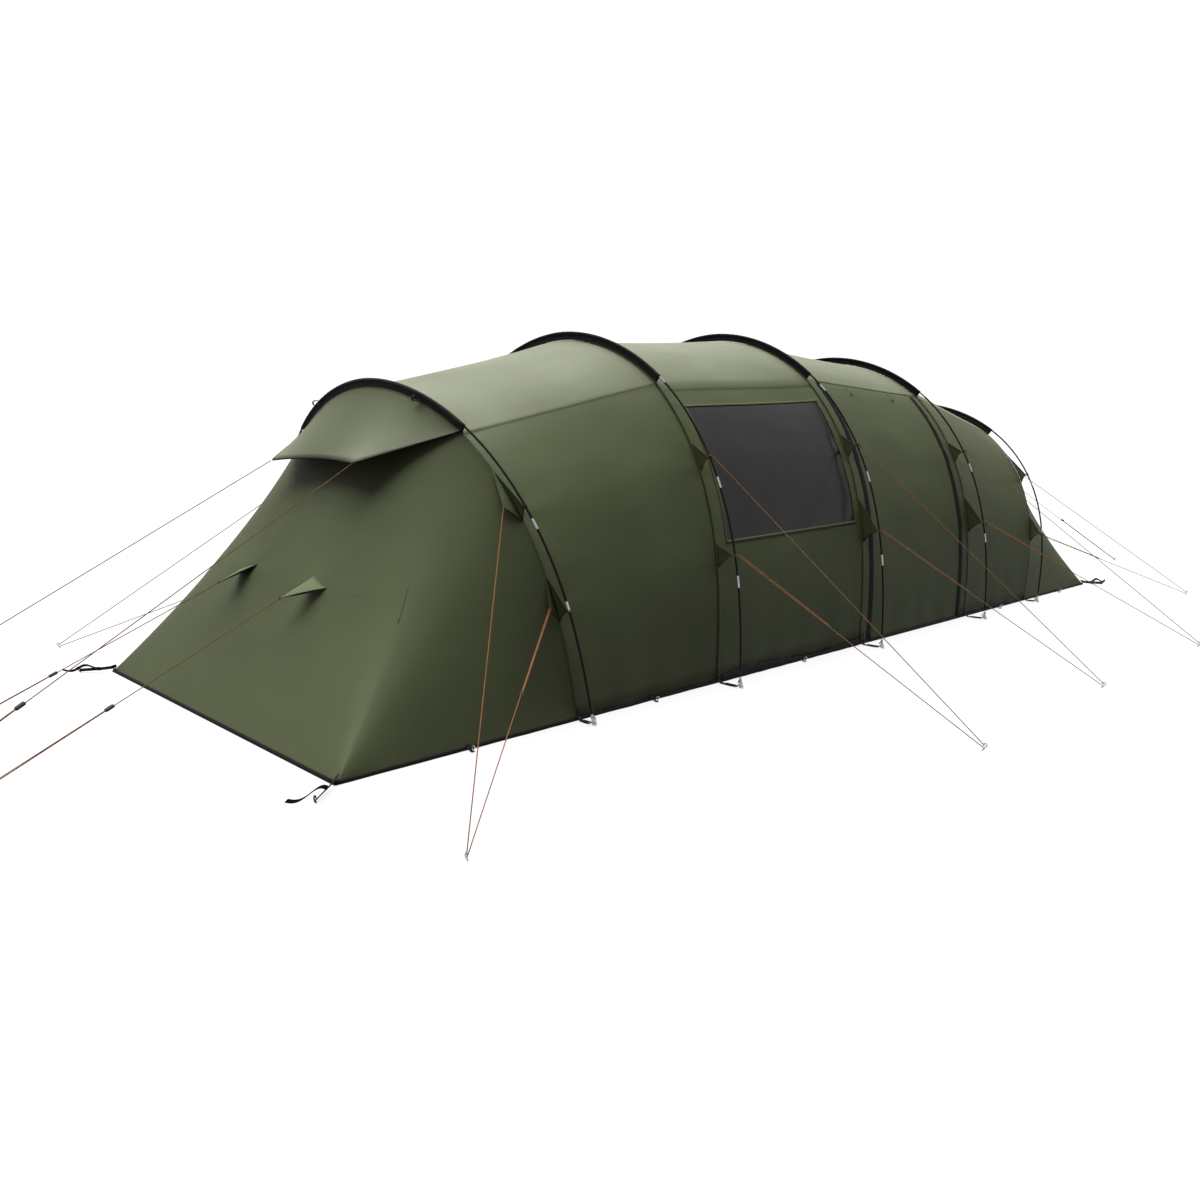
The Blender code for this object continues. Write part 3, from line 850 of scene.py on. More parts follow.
def hood_path(i, sign):
    hx, hy, hz = HOOD_CORNER

    def root(d):
        return fly_point(i, d, extra=-0.008) + Vector((sign * 0.006, 0.0, 0.0))

    mid = []
    for t in span(-1, 1, 8):
        bow = 1 - t * t
        mid.append(Vector((sign * (hx - 0.03 * bow), t * hy, hz + 0.018 * bow)))
    return root, [root(EAVE + 0.5)] + mid + [root(180.0 - EAVE - 0.5)]


def make_hood(i, word, sign):
    root, path = hood_path(i, sign)
    start = EAVE + 0.5
    stop = 180.0 - start
    lens = steps(path)
    whole = sum(lens)
    ts = set(span(0.0, 1.0, 70))
    ts.add(lens[0] / whole)
    ts.add(1.0 - lens[-1] / whole)
    vs = span(0.0, 1.0, 14)
    rows, dists, runs = [], [], []
    for t in sorted(ts):
        a = root(start + (stop - start) * t)
        b = along(path, t)
        row = []
        for v in vs:
            lift = Vector((sign * 0.012, 0.0, 0.012)) * math.sin(math.pi * v) * math.sin(math.pi * t)
            ripple = noise.noise(Vector((t * 9.0, v * 2.0, 5.0 + sign))) * 0.003 * math.sin(math.pi * v)
            row.append(a.lerp(b, v) + lift + Vector((0, 0, ripple)))
        rows.append(row)
        size = max((b - a).length, 0.001)
        dists.append([min(1.0 - v, v) * size for v in vs])
        runs.append([t * whole for v in vs])
    rows = relax(rows, 260, [t * whole for t in sorted(ts)], [v * 0.5 for v in vs])
    name = "hood_%s_fabric" % word
    # The hood gets a larger share of the painted skylight and sheen, so its top is painted paler.
    mesh = sheet_mesh(name, rows, runs, dists, metres=[[p.y for p in row] for row in rows], top_light_boost=0.09)
    obj = add(name, mesh, M["fly"], ROOT, ["hood_" + word])
    thicken(obj, 0.0012)
    edge = Shape()
    edge.pipe([along(path, t) for t in span(0.0, 1.0, 60)], 0.0035, 8)
    edge.make("hood_%s_piping" % word, M["web"])


for i_end, word, way in ENDS:
    make_hood(i_end, word, way)


# ---- poles, ferrules, sleeves -------------------------------------------------------------
FERRULES = ((29.5, 14.8), (53.0, 28.0, 11.7), (49.0, 26.0, 10.8), (53.0, 28.5, 12.4), (29.5, 14.8))
PIN_H = 0.05


def make_pole(i):
    degs = [0.0, 0.15, 0.4, 0.8, 1.4] + span(2.0, 178.0, 176) + [178.6, 179.2, 179.6, 179.85, 180.0]
    pts = [arch_point(i, d) for d in degs]
    tube_pts = [p for p in pts if p.z > PIN_H]
    shaft = Shape()
    shaft.pipe(tube_pts, POLE_R, 14)
    shaft.make("pole_%d_tube" % (i + 1), M["pole"], cad=["pole_%d" % (i + 1)])
    rings = Shape()
    for at in FERRULES[i]:
        for d0 in (at, 180.0 - at):
            half = 1.05 if at > 20 else 0.85
            rings.pipe([arch_point(i, d) for d in span(d0 - half, d0 + half, 6)], POLE_R + 0.0007, 14)
    for s in (0, 1):
        low = pts[0] if s == 0 else pts[-1]
        up = [p for p in (pts if s == 0 else pts[::-1]) if p.z > PIN_H + 0.025][0]
        way = (up - low).normalized()
        rings.pipe([low + way * 0.044, low + way * 0.060], POLE_R + 0.0009, 14)
        rings.pipe([low + way * 0.006, low + way * 0.05], 0.0042, 12)
    rings.make("pole_%d_ferrules" % (i + 1), M["silver"])


def make_sleeve(i):
    """A sleeve round the pole, with the two-layer web that hangs from it to the roof seam."""
    grip = POLE_R + 0.0022
    prof = []
    for k in range(7):
        prof.append((0.0011, -ROOF_INSET + 0.002 + (ROOF_INSET - 0.016) * k / 6.0))
    for a in span(-55.0, 235.0, 12):
        prof.append((grip * math.cos(math.radians(a)), grip * math.sin(math.radians(a))))
    prof += [(-x, z) for x, z in reversed(prof[:7])]
    lean = Vector((ARCH_LEAN[i], 0.0, 1.0)).normalized()
    side = Vector((lean.z, 0.0, -lean.x))
    rows, dists, runs = [], [], []
    for d in span(EAVE, 180.0 - EAVE, 110):
        ny, nz = arch_normal(i, d)
        out = (Vector((0.0, ny, 0.0)) + lean * nz).normalized()
        base = arch_point(i, d)
        sway = noise.noise(Vector((d * 0.16, i * 3.0, 1.0))) * 0.004 + math.sin(d * 2.4 + i) * 0.0007
        row = []
        for x, z in prof:
            hang = min(1.0, max(0.0, (-z - 0.008) / 0.03))
            mid = 4 * hang * (1 - hang)
            puff = 1.0 + 0.07 * noise.noise(Vector((d * 0.9, x * 60, i)))
            row.append(base + side * (x * puff + sway * mid) + out * z)
        rows.append(row)
        dists.append([abs(z + ROOF_INSET - 0.002) for x, z in prof])
        runs.append([d * 0.016 for _ in prof])
    name = "sleeve_%d_fabric" % (i + 1)
    mesh = sheet_mesh(name, rows, runs, dists, metres=[[k * 0.006 for k in range(len(prof))] for row in rows])
    obj = add(name, mesh, M["sleeve"], ROOT, ["sleeve_%d" % (i + 1)])
    thicken(obj, 0.0008, 1.0)


for n in range(5):
    make_pole(n)
    make_sleeve(n)


# ---- gusset flaps, pole clips and knots ---------------------------------------------------
def fan(shape, seam, corner, bulge, lift=0.0, n=8):
    """A small sewn triangle from a seam line out to one corner."""
    base = len(shape.verts)
    last = len(seam) - 1
    for r, s in enumerate(seam):
        a = r / last
        for b in span(0.0, 1.0, n):
            p = s.lerp(corner, b)
            p = p + bulge * (math.sin(math.pi * b) * (0.4 + 0.6 * math.sin(math.pi * a)))
            p.z += lift * math.sin(math.pi * b) * a ** 3
            shape.verts.append(p)
    for r in range(last):
        for c in range(n):
            k = base + r * (n + 1) + c
            shape.faces.append((k, k + 1, k + n + 2, k + n + 1))


def hem_line(shape, a, b, lift, radius=0.0016):
    pts = []
    for t in span(0.0, 1.0, 8):
        p = a.lerp(b, t)
        p.z += lift * math.sin(math.pi * t)
        pts.append(p)
    shape.pipe(pts, radius, 6)


FLAP_RISE = ((11.5, 7.0), (5.2, 2.6), (4.6, 7.6), (4.6, 7.2), (11.5, 6.0))


def make_flaps(i, tag, side):
    cloth = Shape()
    trim = Shape()
    clip = Shape()
    knots = Shape()

    def turned(p):
        return Vector((p.x, p.y * -side, p.z))

    for which, centre in enumerate((CLIP_UP, CLIP_LOW[i])):
        rise = FLAP_RISE[i][which]
        pole = turned(arch_point(i, centre))
        corner = turned(arch_point(i, centre, 0.010))
        seam = [turned(fly_point(i, d, extra=-0.002)) for d in span(centre + rise, centre - 1.6, 12)]
        fan(cloth, seam, corner, Vector((0.004, 0, 0)), 0.018)
        hem_line(trim, seam[-1], corner, 0.018)
        start = GUYS[(i, tag)][which]
        tangent = turned(arch_point(i, centre + 1)) - turned(arch_point(i, centre - 1))
        tangent.normalize()
        if i in (0, 4):
            way = -1.0 if i == 0 else 1.0
            foot_deg = centre - (1.5 if which == 0 else 1.0)
            rear = [turned(fly_point(i, d, extra=-0.003)) + Vector((way * 0.004, 0, 0))
                    for d in span(centre + rise * 0.9, foot_deg, 12)]
            fan(cloth, rear, start, Vector((way * 0.004, side * 0.004, 0)), 0.004)
            hem_line(trim, rear[-1], start, 0.004, 0.0013)
            knots.ring(start, Vector((0.3, side, 0.0)), 0.0045, CORD_R, 16, 8)
            tail = [start, start + Vector((0.006, 0, -0.022)), start + Vector((0.012, 0, -0.034))]
        else:
            knots.ring(pole, tangent, (start - pole).length - 0.001, CORD_R, 20, 8)
            knots.ring(start, Vector((1, 0, 0.2)), 0.0032, CORD_R * 1.1, 12, 8)
            tail = [start, start + Vector((0.010, side * 0.004, -0.016)),
                    start + Vector((0.012, side * 0.004, -0.030))]
        knots.pipe(tail, CORD_R * 0.9, 6)
        clip.ring(pole, tangent, POLE_R + 0.0024, 0.0021, 16, 8)
        clip.ring(pole + tangent * 0.007, tangent, POLE_R + 0.0022, 0.0018, 16, 8)
        clip.pipe([pole.lerp(corner, 0.9), corner.lerp(pole, -0.6)], 0.0042, 8)
    name = "%d_%s" % (i + 1, tag)
    thicken(cloth.make("pole_flaps_" + name, M["flap"]), 0.0012, 0.0)
    trim.make("flap_trim_" + name, M["web"])
    clip.make("pole_clips_" + name, M["plastic"])
    knots.make("guy_knots_" + name, M["cord"])


for n in range(5):
    for tag, side in SIDES:
        make_flaps(n, tag, side)


# ---- pull-out tabs on the sloping ends ----------------------------------------------------
def on_skin(word, sign, y, z, lift):
    hit_at = END_SKIN[word].ray_cast(Vector((sign * 6.0, y, z)), Vector((-sign, 0, 0)))[0]
    return hit_at + Vector((sign * lift, 0, lift * 0.6))


def end_seams(word, sign):
    """The curved seam behind the tabs, and the short dart where it meets each side."""
    s = Shape()
    pts = []
    for y in span(-1.02, 1.02, 64):
        over = max(0.0, abs(y) - 0.36)
        pts.append(on_skin(word, sign, y, 0.660 - 0.06 * over * over, 0.0004))
    s.strap(pts, Vector((0, 0, 0.0016)), Vector((sign * 0.0006, 0, 0.0003)))
    for side in (-1.0, 1.0):
        dart = [on_skin(word, sign, side * (0.996 + 0.070 * t), 0.710 - 0.144 * t, 0.0006)
                for t in span(0.0, 1.0, 10)]
        s.strap(dart, Vector((0, side * 0.0035, 0.0008)), Vector((sign * 0.0008, 0, 0.0004)))
    s.make("end_seams_" + word, M["flap"])


def make_tab(word, sign, tag, side):
    node_name = "tab_%s_%s" % (word, tag)
    tip = Vector((sign * TAB_TIP[0], side * TAB_TIP[1], TAB_TIP[2]))
    root = [on_skin(word, sign, side * (0.315 + 0.165 * t), 0.700 - 0.040 * t, 0.0015)
            for t in span(0.0, 1.0, 12)]
    lower = [on_skin(word, sign, side * (0.320 + 0.155 * t), 0.690 - 0.038 * t, 0.0015)
             for t in span(0.0, 1.0, 12)]
    cloth = Shape()
    fan(cloth, root, tip, Vector((0, 0, 0.006)), 0.0)
    fan(cloth, lower, tip, Vector((0, 0, -0.003)), 0.0)
    thicken(cloth.make(node_name + "_fabric", M["tab"], cad=[node_name]), 0.0012, 0.0)
    trim = Shape()
    hem_line(trim, root[0], tip, 0.004, 0.0012)
    hem_line(trim, root[-1], tip, 0.004, 0.0012)
    trim.ring(tip + Vector((sign * 0.003, 0, 0)), Vector((0.2, 1, 0)), 0.005, 0.0014, 14, 6)
    trim.make(node_name + "_trim", M["web"])


for _, word, way in ENDS:
    for tag, side in SIDES:
        make_tab(word, way, tag, side)
    end_seams(word, way)


# ---- door zips, sliders, toggles, ground band ---------------------------------------------
def bay_frame(i, u, deg, side, lift):
    """A place on the fly of either side, with its outward direction and the direction along the tent."""
    dd = 180.0 - deg if side > 0 else deg
    p = bay_point(i, u, dd, bay_ripple(i, u, dd) + lift)
    n = bay_normal(i, u, dd)
    along_x = (fly_point(i + 1, dd) - fly_point(i, dd)).normalized()
    return p, n, along_x


def bay_strap(shape, i, u, degs, side, half, lift):
    pts, wide, deep = [], [], []
    for d in degs:
        p, n, x = bay_frame(i, u, d, side, lift)
        pts.append(p)
        wide.append(x * half)
        deep.append(n * TAPE_THICK)
    shape.strap(pts, wide, deep)


def cross_strap(shape, i, us, deg, side, half, lift):
    """A flat tape that runs along the tent at one height."""
    pts, wide, deep = [], [], []
    for u in us:
        p, n, x = bay_frame(i, u, deg, side, lift)
        pts.append(p)
        wide.append(n.cross(x).normalized() * half)
        deep.append(n * TAPE_THICK)
    shape.strap(pts, wide, deep)


def make_zip(tag, side):
    degs = span(0.1, EAVE - 0.6, 90)
    teeth_degs = span(0.1, EAVE - 0.6, 620)
    for word, u_edge, way in (("front", d_lo, -1.0), ("rear", d_hi, 1.0)):
        fixed = Shape()
        bay_strap(fixed, 2, u_edge + way * 0.0125 / BAY_LENGTH, degs, side, 0.0115, 0.0022)
        fixed.make("zip_tape_%s_%s_fixed" % (word, tag), M["band"])
        teeth = Shape()
        pts = [bay_frame(2, u_edge + way * 0.0016 / BAY_LENGTH, d, side, 0.0034)[0] for d in teeth_degs]
        teeth.pipe(pts, [0.0016 if k % 2 else 0.0026 for k in range(len(pts))], 6)
        teeth.make("zip_teeth_%s_%s" % (word, tag), M["zip"])
        loose = Shape()
        bay_strap(loose, 2, u_edge - way * 0.016 / BAY_LENGTH, degs, side, 0.0125, 0.0018)
        loose.make("zip_tape_%s_%s_door" % (word, tag), M["band"], body="door_" + tag)


def storm_flap(tag, side):
    """Strips sewn behind the door edges, which cover the gap beside the zips and over the hinge line."""
    s = Shape()
    for u in (d_lo, d_hi):
        bay_strap(s, 2, u, span(0.2, EAVE - 0.4, 60), side, 0.018, -0.0048)
    cross_strap(s, 2, span(d_lo - 0.006, d_hi + 0.006, 50), EAVE - 0.1, side, 0.020, -0.0050)
    s.make("storm_flap_" + tag, M["flap"])


def seam_tape(i):
    """Tape sewn inside the fly over the seam between two bays."""
    s = Shape()
    pts = [fly_point(i, d, extra=-0.005) for d in span(0.3, 179.7, 220)]
    deep = []
    for k in range(len(pts)):
        along = pts[min(k + 1, len(pts) - 1)] - pts[max(k - 1, 0)]
        deep.append(along.cross(Vector((1, 0, 0))).normalized() * TAPE_THICK)
    s.strap(pts, Vector((0.011, 0, 0)), deep)
    s.make("seam_tape_%d" % (i + 1), M["flap"])


for n in (1, 2, 3):
    seam_tape(n)


def window_tape(tag, side):
    s = Shape()
    for u in (w_lo, w_hi):
        bay_strap(s, 1, u, span(WINDOW_DEG[0] - 0.3, WINDOW_DEG[1] + 0.3, 60), side, 0.009, 0.0016)
    for d in WINDOW_DEG:
        cross_strap(s, 1, span(w_lo - 0.005, w_hi + 0.005, 60), d, side, 0.009, 0.0018)
    s.make("window_tape_" + tag, M["flap"])


def make_slider(tag, side):
    name = "zip_slider_" + tag
    low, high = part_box(name)
    c = Vector([(a + b) / 2 for a, b in zip(low, high)])
    out = Vector((0, side, 0))
    s = Shape()
    for k in (-1, 1):
        rail = [c + Vector((k * x, 0, z)) for x, z in ((0.0034, -0.013), (0.0046, 0.002), (0.0026, 0.013))]
        s.strap(rail, Vector((0.0022, 0, 0)), out * 0.0026)
    s.block(c + out * 0.0012, Vector((0.0044, 0, 0)), out * 0.001, Vector((0, 0, 0.009)))
    s.ring(c + out * 0.0034 + above(0.004), Vector((1, 0, 0)), 0.0028, 0.0009, 14, 6)
    pull = [c + out * 0.0052 + above(0.002), c + out * 0.0056 - above(0.012), c + out * 0.005 - above(0.032)]
    s.strap(pull, [Vector((half, 0, 0)) for half in (0.0022, 0.0036, 0.003)], out * 0.0008)
    s.make(name + "_body", M["plastic"], body=name, cad=[name], bevel=0.0005)


def make_toggles(tag, side):
    s = Shape()
    for u in (0.305, 0.68):
        p, n, x = bay_frame(2, u, EAVE - 0.7, side, 0.0005)
        q, m, _ = bay_frame(2, u, EAVE - 3.6, side, 0.010)
        s.pipe([p, p.lerp(q, 0.5) + n * 0.006, q], 0.0014, 6)
        s.pipe([q - x * 0.016 + m * 0.001, q - x * 0.010, q + x * 0.010, q + x * 0.016 + m * 0.001],
               [0.0030, 0.0046, 0.0046, 0.0030], 10)
        s.ring(q, x, 0.0048, 0.0010, 12, 6)
    s.make("door_toggles_" + tag, M["plastic"], body="door_" + tag)


def ground_band(tag, side):
    s = Shape()
    pts, wide = [], []
    for k, u in enumerate(span(0.02, 0.985, 60)):
        x = ARCH_X[1] + BAY_LENGTH * u
        high = 0.020 + 0.008 * math.sin(u * 7.0) + 0.0015 * math.sin(k * 1.7)
        pts.append(Vector((x, side * (FLY_HALF_WIDTH + 0.005 + 0.0015 * math.sin(k * 0.9)), high + 0.001)))
        wide.append(Vector((0, -side * 0.002, high)))
    s.strap(pts, wide, Vector((0, side * 0.0009, 0)))
    s.make("ground_band_" + tag, M["band"])


def base_loops(tag, side):
    web = Shape()
    metal = Shape()
    path = ((0.004, 0.030), (0.012, 0.012), (0.035, 0.005), (0.050, 0.004))
    y = side * FLY_HALF_WIDTH
    for x in (-3.25, -2.05, -0.70, 2.05, 3.25):
        pts = [Vector((x, y + side * out, high)) for out, high in path]
        web.strap(pts, Vector((0.009, 0, 0)), Vector((0, 0, 0.0008)))
        peg(metal, Vector((x, y + side * 0.045, 0.003)), Vector((0.1, side, 0)))
    web.make("base_loops_" + tag, M["web"], bevel=0.0004)
    metal.make("base_pegs_" + tag, M["peg"])


def sleeve_loops():
    path = ((0.002, 0.004), (0.034, 0.010), (0.052, -0.002),
            (0.046, -0.018), (0.020, -0.020), (0.008, -0.012))
    for i, word, way in ENDS:
        s = Shape()
        for d in (68.0, 112.0):
            p = arch_point(i, d, 0.012) + Vector((way * 0.008, 0, 0))
            pts = [p + Vector((way * out, 0, high)) for out, high in path]
            s.strap(pts, Vector((0, 0.010, 0)), Vector((way * 0.0004, 0, 0.0010)))
        s.make("sleeve_loops_" + word, M["web"], bevel=0.0003)


# ---- inside: groundsheet and bedroom walls ------------------------------------------------
def make_groundsheet():
    low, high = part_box("groundsheet")
    xs = span(low[0] + 0.01, high[0] - 0.01, 120)
    ys = span(low[1] + 0.008, high[1] - 0.008, 44)
    rows = []
    for y in ys:
        waves = [noise.noise(Vector((x * 2.2, y * 3.1, 0.5))) for x in xs]
        rows.append([Vector((x, y, 0.0024 + 0.0014 * wave)) for x, wave in zip(xs, waves)])
    dists = [[min(x - xs[0], xs[-1] - x, y - ys[0], ys[-1] - y) for x in xs] for y in ys]
    mesh = sheet_mesh("groundsheet_fabric", rows, [xs for y in ys], dists)
    obj = add("groundsheet_fabric", mesh, M["floor_sheet"], ROOT, ["groundsheet"])
    thicken(obj, 0.001, 0.0)


def hit(ring, centre, ang):
    """How far from centre a ray meets the ring, in the plane of the ring."""
    dx, dy = math.cos(ang), math.sin(ang)
    best = 9.0
    for k in range(len(ring)):
        ax, ay = ring[k][0] - centre[0], ring[k][1] - centre[1]
        bx, by = ring[(k + 1) % len(ring)][0] - centre[0], ring[(k + 1) % len(ring)][1] - centre[1]
        ex, ey = bx - ax, by - ay
        det = dx * ey - dy * ex
        if abs(det) < 1e-12:
            continue
        t = (ax * ey - ay * ex) / det
        w = (ax * dy - ay * dx) / det
        if t > 0 and -1e-9 <= w <= 1 + 1e-9:
            best = min(best, t)
    return best


def make_wall(word, i, x):
    ring = [(p.y, max(p.z, 0.006)) for p in (fly_point(i, d, extra=0.037) for d in span(0.0, 180.0, 60))]
    hole = [(-0.55, 0.12), (0.55, 0.12), (0.60, 0.9), (0.45, 1.45), (0.0, 1.62), (-0.45, 1.45), (-0.60, 0.9)]
    mid = (0.0, 0.8)
    rows = []
    dists = []
    for k in range(181):
        ang = 2 * math.pi * (k % 180) / 180
        far_r = hit(ring, mid, ang)
        near_r = hit(hole, mid, ang) + 0.002
        row = []
        for t in span(0.0, 1.0, 16):
            r = near_r + (far_r - near_r) * t
            y, z = mid[0] + math.cos(ang) * r, mid[1] + math.sin(ang) * r
            ripple = 0.008 * math.sin(y * 17.0 + 1.3 * math.sin(z * 2.0)) * math.sin(math.pi * t) ** 0.5
            row.append(Vector((x + ripple, y, z)))
        rows.append(row)
        dists.append([min(t, 1 - t) * 0.4 for t in span(0.0, 1.0, 16)])
    name = "bedroom_wall_" + word
    mesh = sheet_mesh(name + "_fabric", rows, [[k * 0.05 for _ in range(17)] for k in range(181)], dists,
                      metres=[[p.y for p in row] for row in rows])
    obj = add(name + "_fabric", mesh, M["inner"], ROOT, [name])
    thicken(obj, 0.0008, 0.0)
    trim = Shape()
    edge = [row[0] for row in rows[:-1]]
    trim.pipe(edge + [edge[0]], 0.0032, 8, caps=False)
    trim.make(name + "_piping", M["web"])


# ---- ground: binding, straps, pegs --------------------------------------------------------
PEG_R = 0.0031
PEG_TIP_R = 0.0006


def peg(shape, at, lean, drop=0.055):
    """A bent steel rod peg: driven in at a slant, with its hook over the loop."""
    lean = Vector((lean[0], lean[1], 0.0)).normalized()
    tip = at - lean * 0.05 - Vector((0, 0, drop))
    top = at + lean * 0.012 + above(0.022)
    hook = [top + above(0.006) - lean * 0.002, top + above(0.009) - lean * 0.009,
            top + above(0.005) - lean * 0.015, top - lean * 0.018 - above(0.004)]
    pts = [tip, tip.lerp(top, 0.06)] + [tip.lerp(top, k) for k in (0.4, 0.8)] + [top] + hook
    shape.pipe(pts, [PEG_TIP_R] + [PEG_R] * (len(pts) - 1), 10)


def guy_pegs():
    for i in range(5):
        for tag, side in SIDES:
            px, py = SIDE_PEGS[i]
            at = Vector((px, side * py, 0.004))
            s = Shape()
            away = at - Vector((ARCH_X[i], side * 1.4, 0.0))
            peg(s, at, away)
            s.make("guy_peg_%d_%s" % (i + 1, tag), M["peg"])
    for _, word, way in ENDS:
        for tag, side in SIDES:
            for kind in ("hood_guy", "tab_guy"):
                _, at, _, go, across = GUYS["%s_%s_%s" % (kind, word, tag)]
                s = Shape()
                peg(s, Vector((at.x, at.y, 0.004)) + across + go * 0.002, go)
                s.make("peg_%s_%s_%s" % (kind, word, tag), M["peg"])


def side_runner(i, tag):
    _, _, _, grip, go = GUYS[(i, tag)]
    s = Shape()
    side = go.cross(Vector((0, 0, 1))).normalized()
    rise = side.cross(go)
    s.strap([grip - go * 0.016, grip - go * 0.008, grip + go * 0.008, grip + go * 0.016],
            [side * 0.004, side * 0.0075, side * 0.0075, side * 0.004], rise * 0.0026)
    s.make("guy_runner_%d_%s" % (i + 1, tag), M["plastic"], bevel=0.0012)


def end_runner(name):
    """A box-shaped line tensioner: both strands of the cord run between its two plates."""
    _, _, runner, go, across = GUYS[name]
    s = Shape()
    side = across.normalized()
    rise = side.cross(go)
    c = runner + side * 0.0050
    for k in (-1, 1):
        plate = c + rise * (0.0042 * k)
        s.strap([plate + go * along_cord for along_cord in (-0.021, -0.014, 0.014, 0.021)],
                [side * 0.0080, side * 0.0125, side * 0.0125, side * 0.0080], rise * 0.0008)
        edge = c + side * (0.0120 * k)
        s.strap([edge - go * 0.014, edge + go * 0.014], side * 0.0008, rise * 0.0046)
    s.make(name + "_tensioner", M["plastic"], body=name + "_runner",
           cad=[name + "_runner"], bevel=0.0005)


RING_LEGS = ((-0.011, 0.050, -0.004), (-0.012, 0.022, 0.004), (-0.009, 0.007, 0.012), (0.0, 0.003, 0.016),
             (0.009, 0.007, 0.012), (0.012, 0.022, 0.004), (0.011, 0.050, -0.004))


def foot(i, tag, side):
    """The webbing strap from the fly to the pole's foot, its ring, bent wire and peg."""
    at = arch_point(i, 0.0)
    at = Vector((at.x, side * abs(at.y), 0.0))
    inner = Vector((at.x, side * FLY_HALF_WIDTH, 0.0))
    strap = Shape()
    out = Vector((0, side, 0))
    pts = [inner + above(0.045) + out * 0.003, inner + above(0.02) + out * 0.006,
           inner + out * 0.03 + above(0.006), inner.lerp(at, 0.6) + above(0.004),
           at - out * 0.022 + above(0.006)]
    strap.strap(pts, Vector((0.0125, 0, 0)), Vector((0, 0, 0.0018)))
    back = [at - out * 0.022 + above(0.0112), inner.lerp(at, 0.5) + above(0.0100),
            inner.lerp(at, 0.35) + above(0.0105)]
    strap.strap(back, Vector((0.0125, 0, 0)), Vector((0, 0, 0.0009)))
    strap.make("foot_strap_%d_%s" % (i + 1, tag), M["web"], bevel=0.0005)
    metal = Shape()
    metal.ring(at - out * 0.010 + above(0.012), Vector((0.25, 0, 1)), 0.019, 0.0027, 20, 8)
    legs = [at + Vector((x, 0, z)) + out * y for x, z, y in RING_LEGS]
    metal.pipe(legs, 0.0024, 8)
    metal.pipe([at + above(0.004), at + above(0.040) - out * 0.0005], POLE_R + 0.0010, 14)
    peg(metal, at - out * 0.028 + Vector((0.022, 0, 0.002)), out)
    metal.make("foot_ring_%d_%s" % (i + 1, tag), M["silver"])


def corner(word, way, tag, side):
    at = Vector((way * FLY_HALF_LENGTH, side * FLY_HALF_WIDTH, 0.0))
    go = Vector((way * 1.0, side * 0.8, 0.0)).normalized()
    wide = (Vector((-go.y, go.x, 0.0)) + above(1.0)).normalized() * 0.0125
    strap = Shape()
    path = ((-0.02, 0.036), (0.01, 0.026), (0.05, 0.021), (0.12, 0.017), (0.19, 0.013))
    pts = [at + go * away + above(high) for away, high in path]
    deep = go.cross(wide).normalized()
    strap.strap(pts, wide, deep * 0.0028)
    tail = []
    for k in range(19):
        t = k / 18.0
        swing = Vector((-go.y, go.x, 0.0)) * (way * -side * 0.075 * t * t + 0.012 * math.sin(t * 5.2))
        high = 0.018 + 0.030 * math.sin(t * 3.9) ** 2
        tail.append(at + go * (0.07 + 0.19 * t) + swing + above(high))
    strap.strap(tail, wide * 0.9, deep * 0.0012)
    strap.make("corner_strap_%s_%s" % (word, tag), M["web"], bevel=0.0004)
    buckle = Shape()
    c = at + go * 0.085 + above(0.0195)
    for k in (-1, 0, 1):
        bar = c + go * 0.013 * k
        buckle.pipe([bar - wide * 1.35, bar + wide * 1.35], 0.0021, 8)
    for k in (-1, 1):
        buckle.pipe([c + wide * 1.3 * k - go * 0.014, c + wide * 1.3 * k + go * 0.014], 0.0022, 8)
    buckle.make("corner_buckle_%s_%s" % (word, tag), M["plastic"])
    metal = Shape()
    peg(metal, at + go * 0.195 + above(0.002), go)
    metal.make("corner_peg_%s_%s" % (word, tag), M["pole"])


guy_pegs()
for n in range(5):
    for tag, side in SIDES:
        side_runner(n, tag)
        foot(n, tag, side)
for _, word, way in ENDS:
    for tag, side in SIDES:
        corner(word, way, tag, side)
        end_runner("hood_guy_%s_%s" % (word, tag))
        end_runner("tab_guy_%s_%s" % (word, tag))


def binding():
    """Black tape sewn round the bottom edge of the fly, open at the doorways."""
    door_from = DOOR_U[0] * BAY_LENGTH
    parts = ((-FLY_HALF_LENGTH, door_from, "front"), (DOOR_U[1] * BAY_LENGTH, FLY_HALF_LENGTH, "rear"))
    door_wide = (DOOR_U[1] - DOOR_U[0]) * BAY_LENGTH - 0.008
    for tag, side in SIDES:
        for a, b, word in parts:
            s = Shape()
            pts = [Vector((a + (b - a) * t, side * (FLY_HALF_WIDTH + 0.0018), 0.010)) for t in span(0, 1, 60)]
            for k, p in enumerate(pts):
                p.y += side * 0.0015 * math.sin(k * 1.3)
            s.strap(pts, Vector((0, 0, 0.009)), Vector((0, 0.0011, 0)))
            s.make("base_binding_%s_%s" % (word, tag), M["band"])
        s = Shape()
        y = side * (FLY_HALF_WIDTH + 0.0045)
        pts = [Vector((door_from + 0.004 + door_wide * t, y, 0.011)) for t in span(0, 1, 20)]
        s.strap(pts, Vector((0, 0, 0.010)), Vector((0, 0.0011, 0)))
        s.make("door_binding_" + tag, M["band"], body="door_" + tag)
    for _, word, way in ENDS:
        s = Shape()
        pts = [Vector((way * (FLY_HALF_LENGTH + 0.002), FLY_HALF_WIDTH * t, 0.010)) for t in span(-1, 1, 40)]
        s.strap(pts, Vector((-way * 0.004, 0, 0.008)), Vector((0.0011, 0, 0.0004)))
        s.make("base_binding_end_" + word, M["band"])


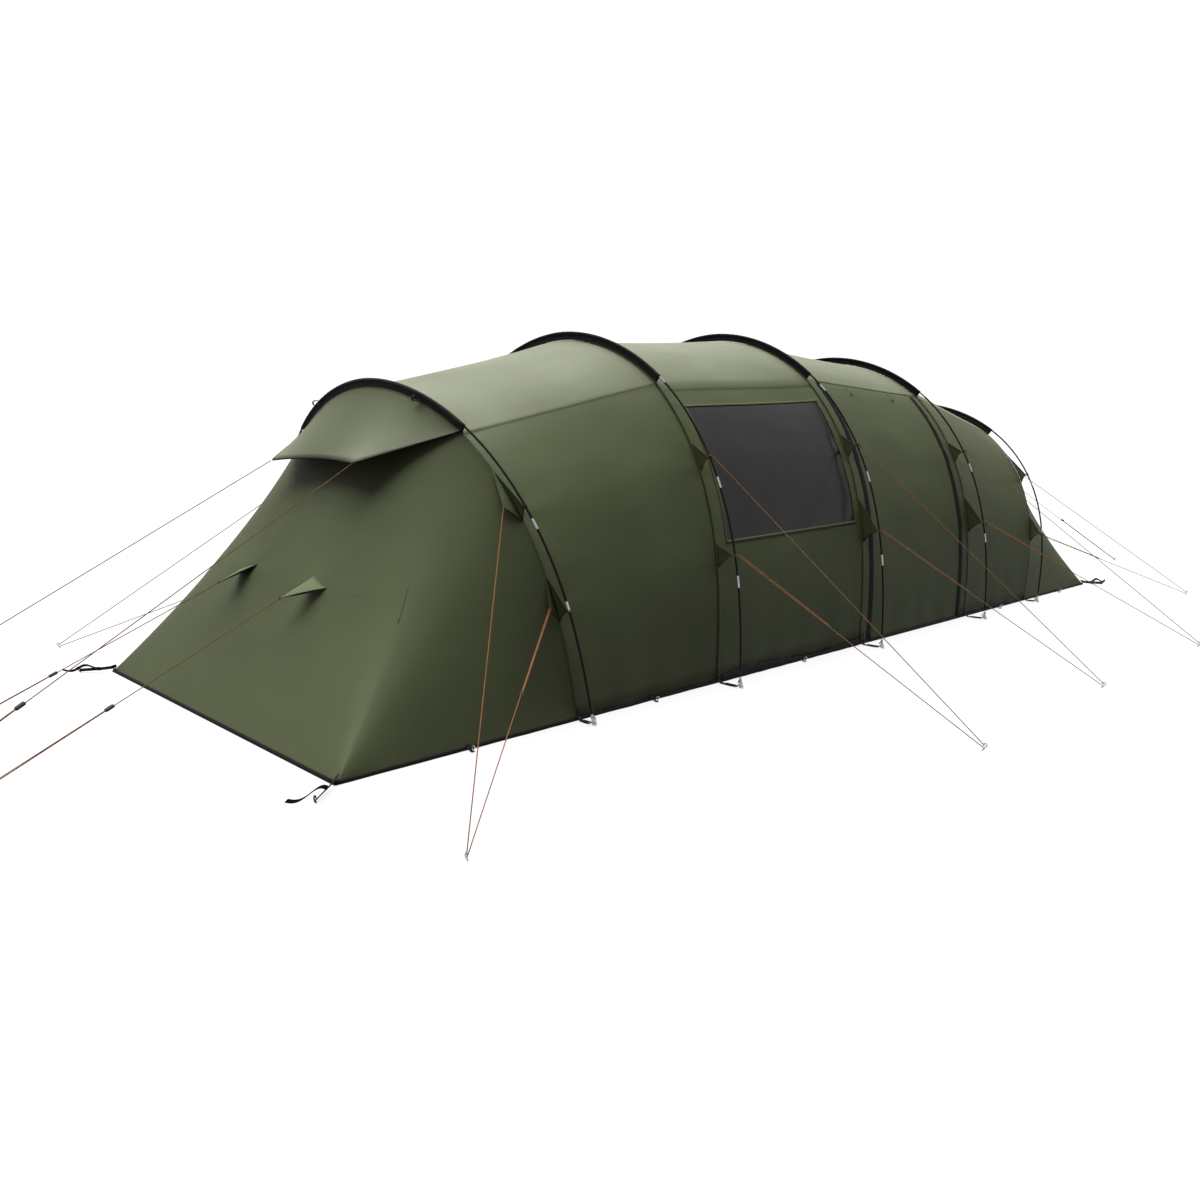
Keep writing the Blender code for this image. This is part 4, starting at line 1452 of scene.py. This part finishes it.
binding()
for tag, side in SIDES:
    make_zip(tag, side)
    make_slider(tag, side)
    make_toggles(tag, side)
    window_tape(tag, side)
    storm_flap(tag, side)
    ground_band(tag, side)
    base_loops(tag, side)
sleeve_loops()
make_groundsheet()
make_wall("front", 1, -1.53)
make_wall("rear", 3, 1.53)


# ---- floor and light ----------------------------------------------------------------------
KEY_TOWARDS = Vector((0.12, 0.26, 0.96))
KEY_ANGLE = 80.0
KEY_POWER = 43.5
FLOOR_HALF = 70.0
FLOOR_Z = -0.0006
FLOOR_COLOUR = (0.026, 0.026, 0.0259)
FLOOR_GLOW = 0.8
WHITE = (1.0, 1.0, 1.0, 1.0)


def stage():
    mesh = bpy.data.meshes.new("floor")
    signs = ((-1, -1), (1, -1), (1, 1), (-1, 1))
    mesh.from_pydata([(x * FLOOR_HALF, y * FLOOR_HALF, FLOOR_Z) for x, y in signs], [], [(0, 1, 2, 3)])
    floor = bpy.data.objects.new("floor", mesh)
    bpy.context.scene.collection.objects.link(floor)
    mat, tree, shader = new_material("floor_pale", FLOOR_COLOUR, 0.95, spec=0.0)
    shader.inputs["Emission Color"].default_value = WHITE
    shader.inputs["Emission Strength"].default_value = FLOOR_GLOW
    mesh.materials.append(mat)
    world = bpy.data.worlds.new("studio")
    bpy.context.scene.world = world
    world.use_nodes = True
    tree = world.node_tree
    back = tree.nodes["Background"]
    where = node(tree, "ShaderNodeTexCoord")
    split = node(tree, "ShaderNodeSeparateXYZ", {0: where.outputs["Generated"]})
    level = ramp(tree, split.outputs["Z"], 0.30, 1.0, 1.10, 1.3)
    tree.links.new(level, back.inputs["Strength"])
    back.inputs["Color"].default_value = WHITE
    data = bpy.data.lights.new("key", "SUN")
    data.energy = KEY_POWER
    data.angle = math.radians(KEY_ANGLE)
    lamp = bpy.data.objects.new("key", data)
    lamp.visible_glossy = False
    bpy.context.scene.collection.objects.link(lamp)
    lamp.location = KEY_TOWARDS * 12.0
    lamp.rotation_euler = KEY_TOWARDS.to_track_quat("Z", "Y").to_euler()
    bpy.context.scene.view_settings.view_transform = "Standard"


stage()
bpy.context.view_layer.update()
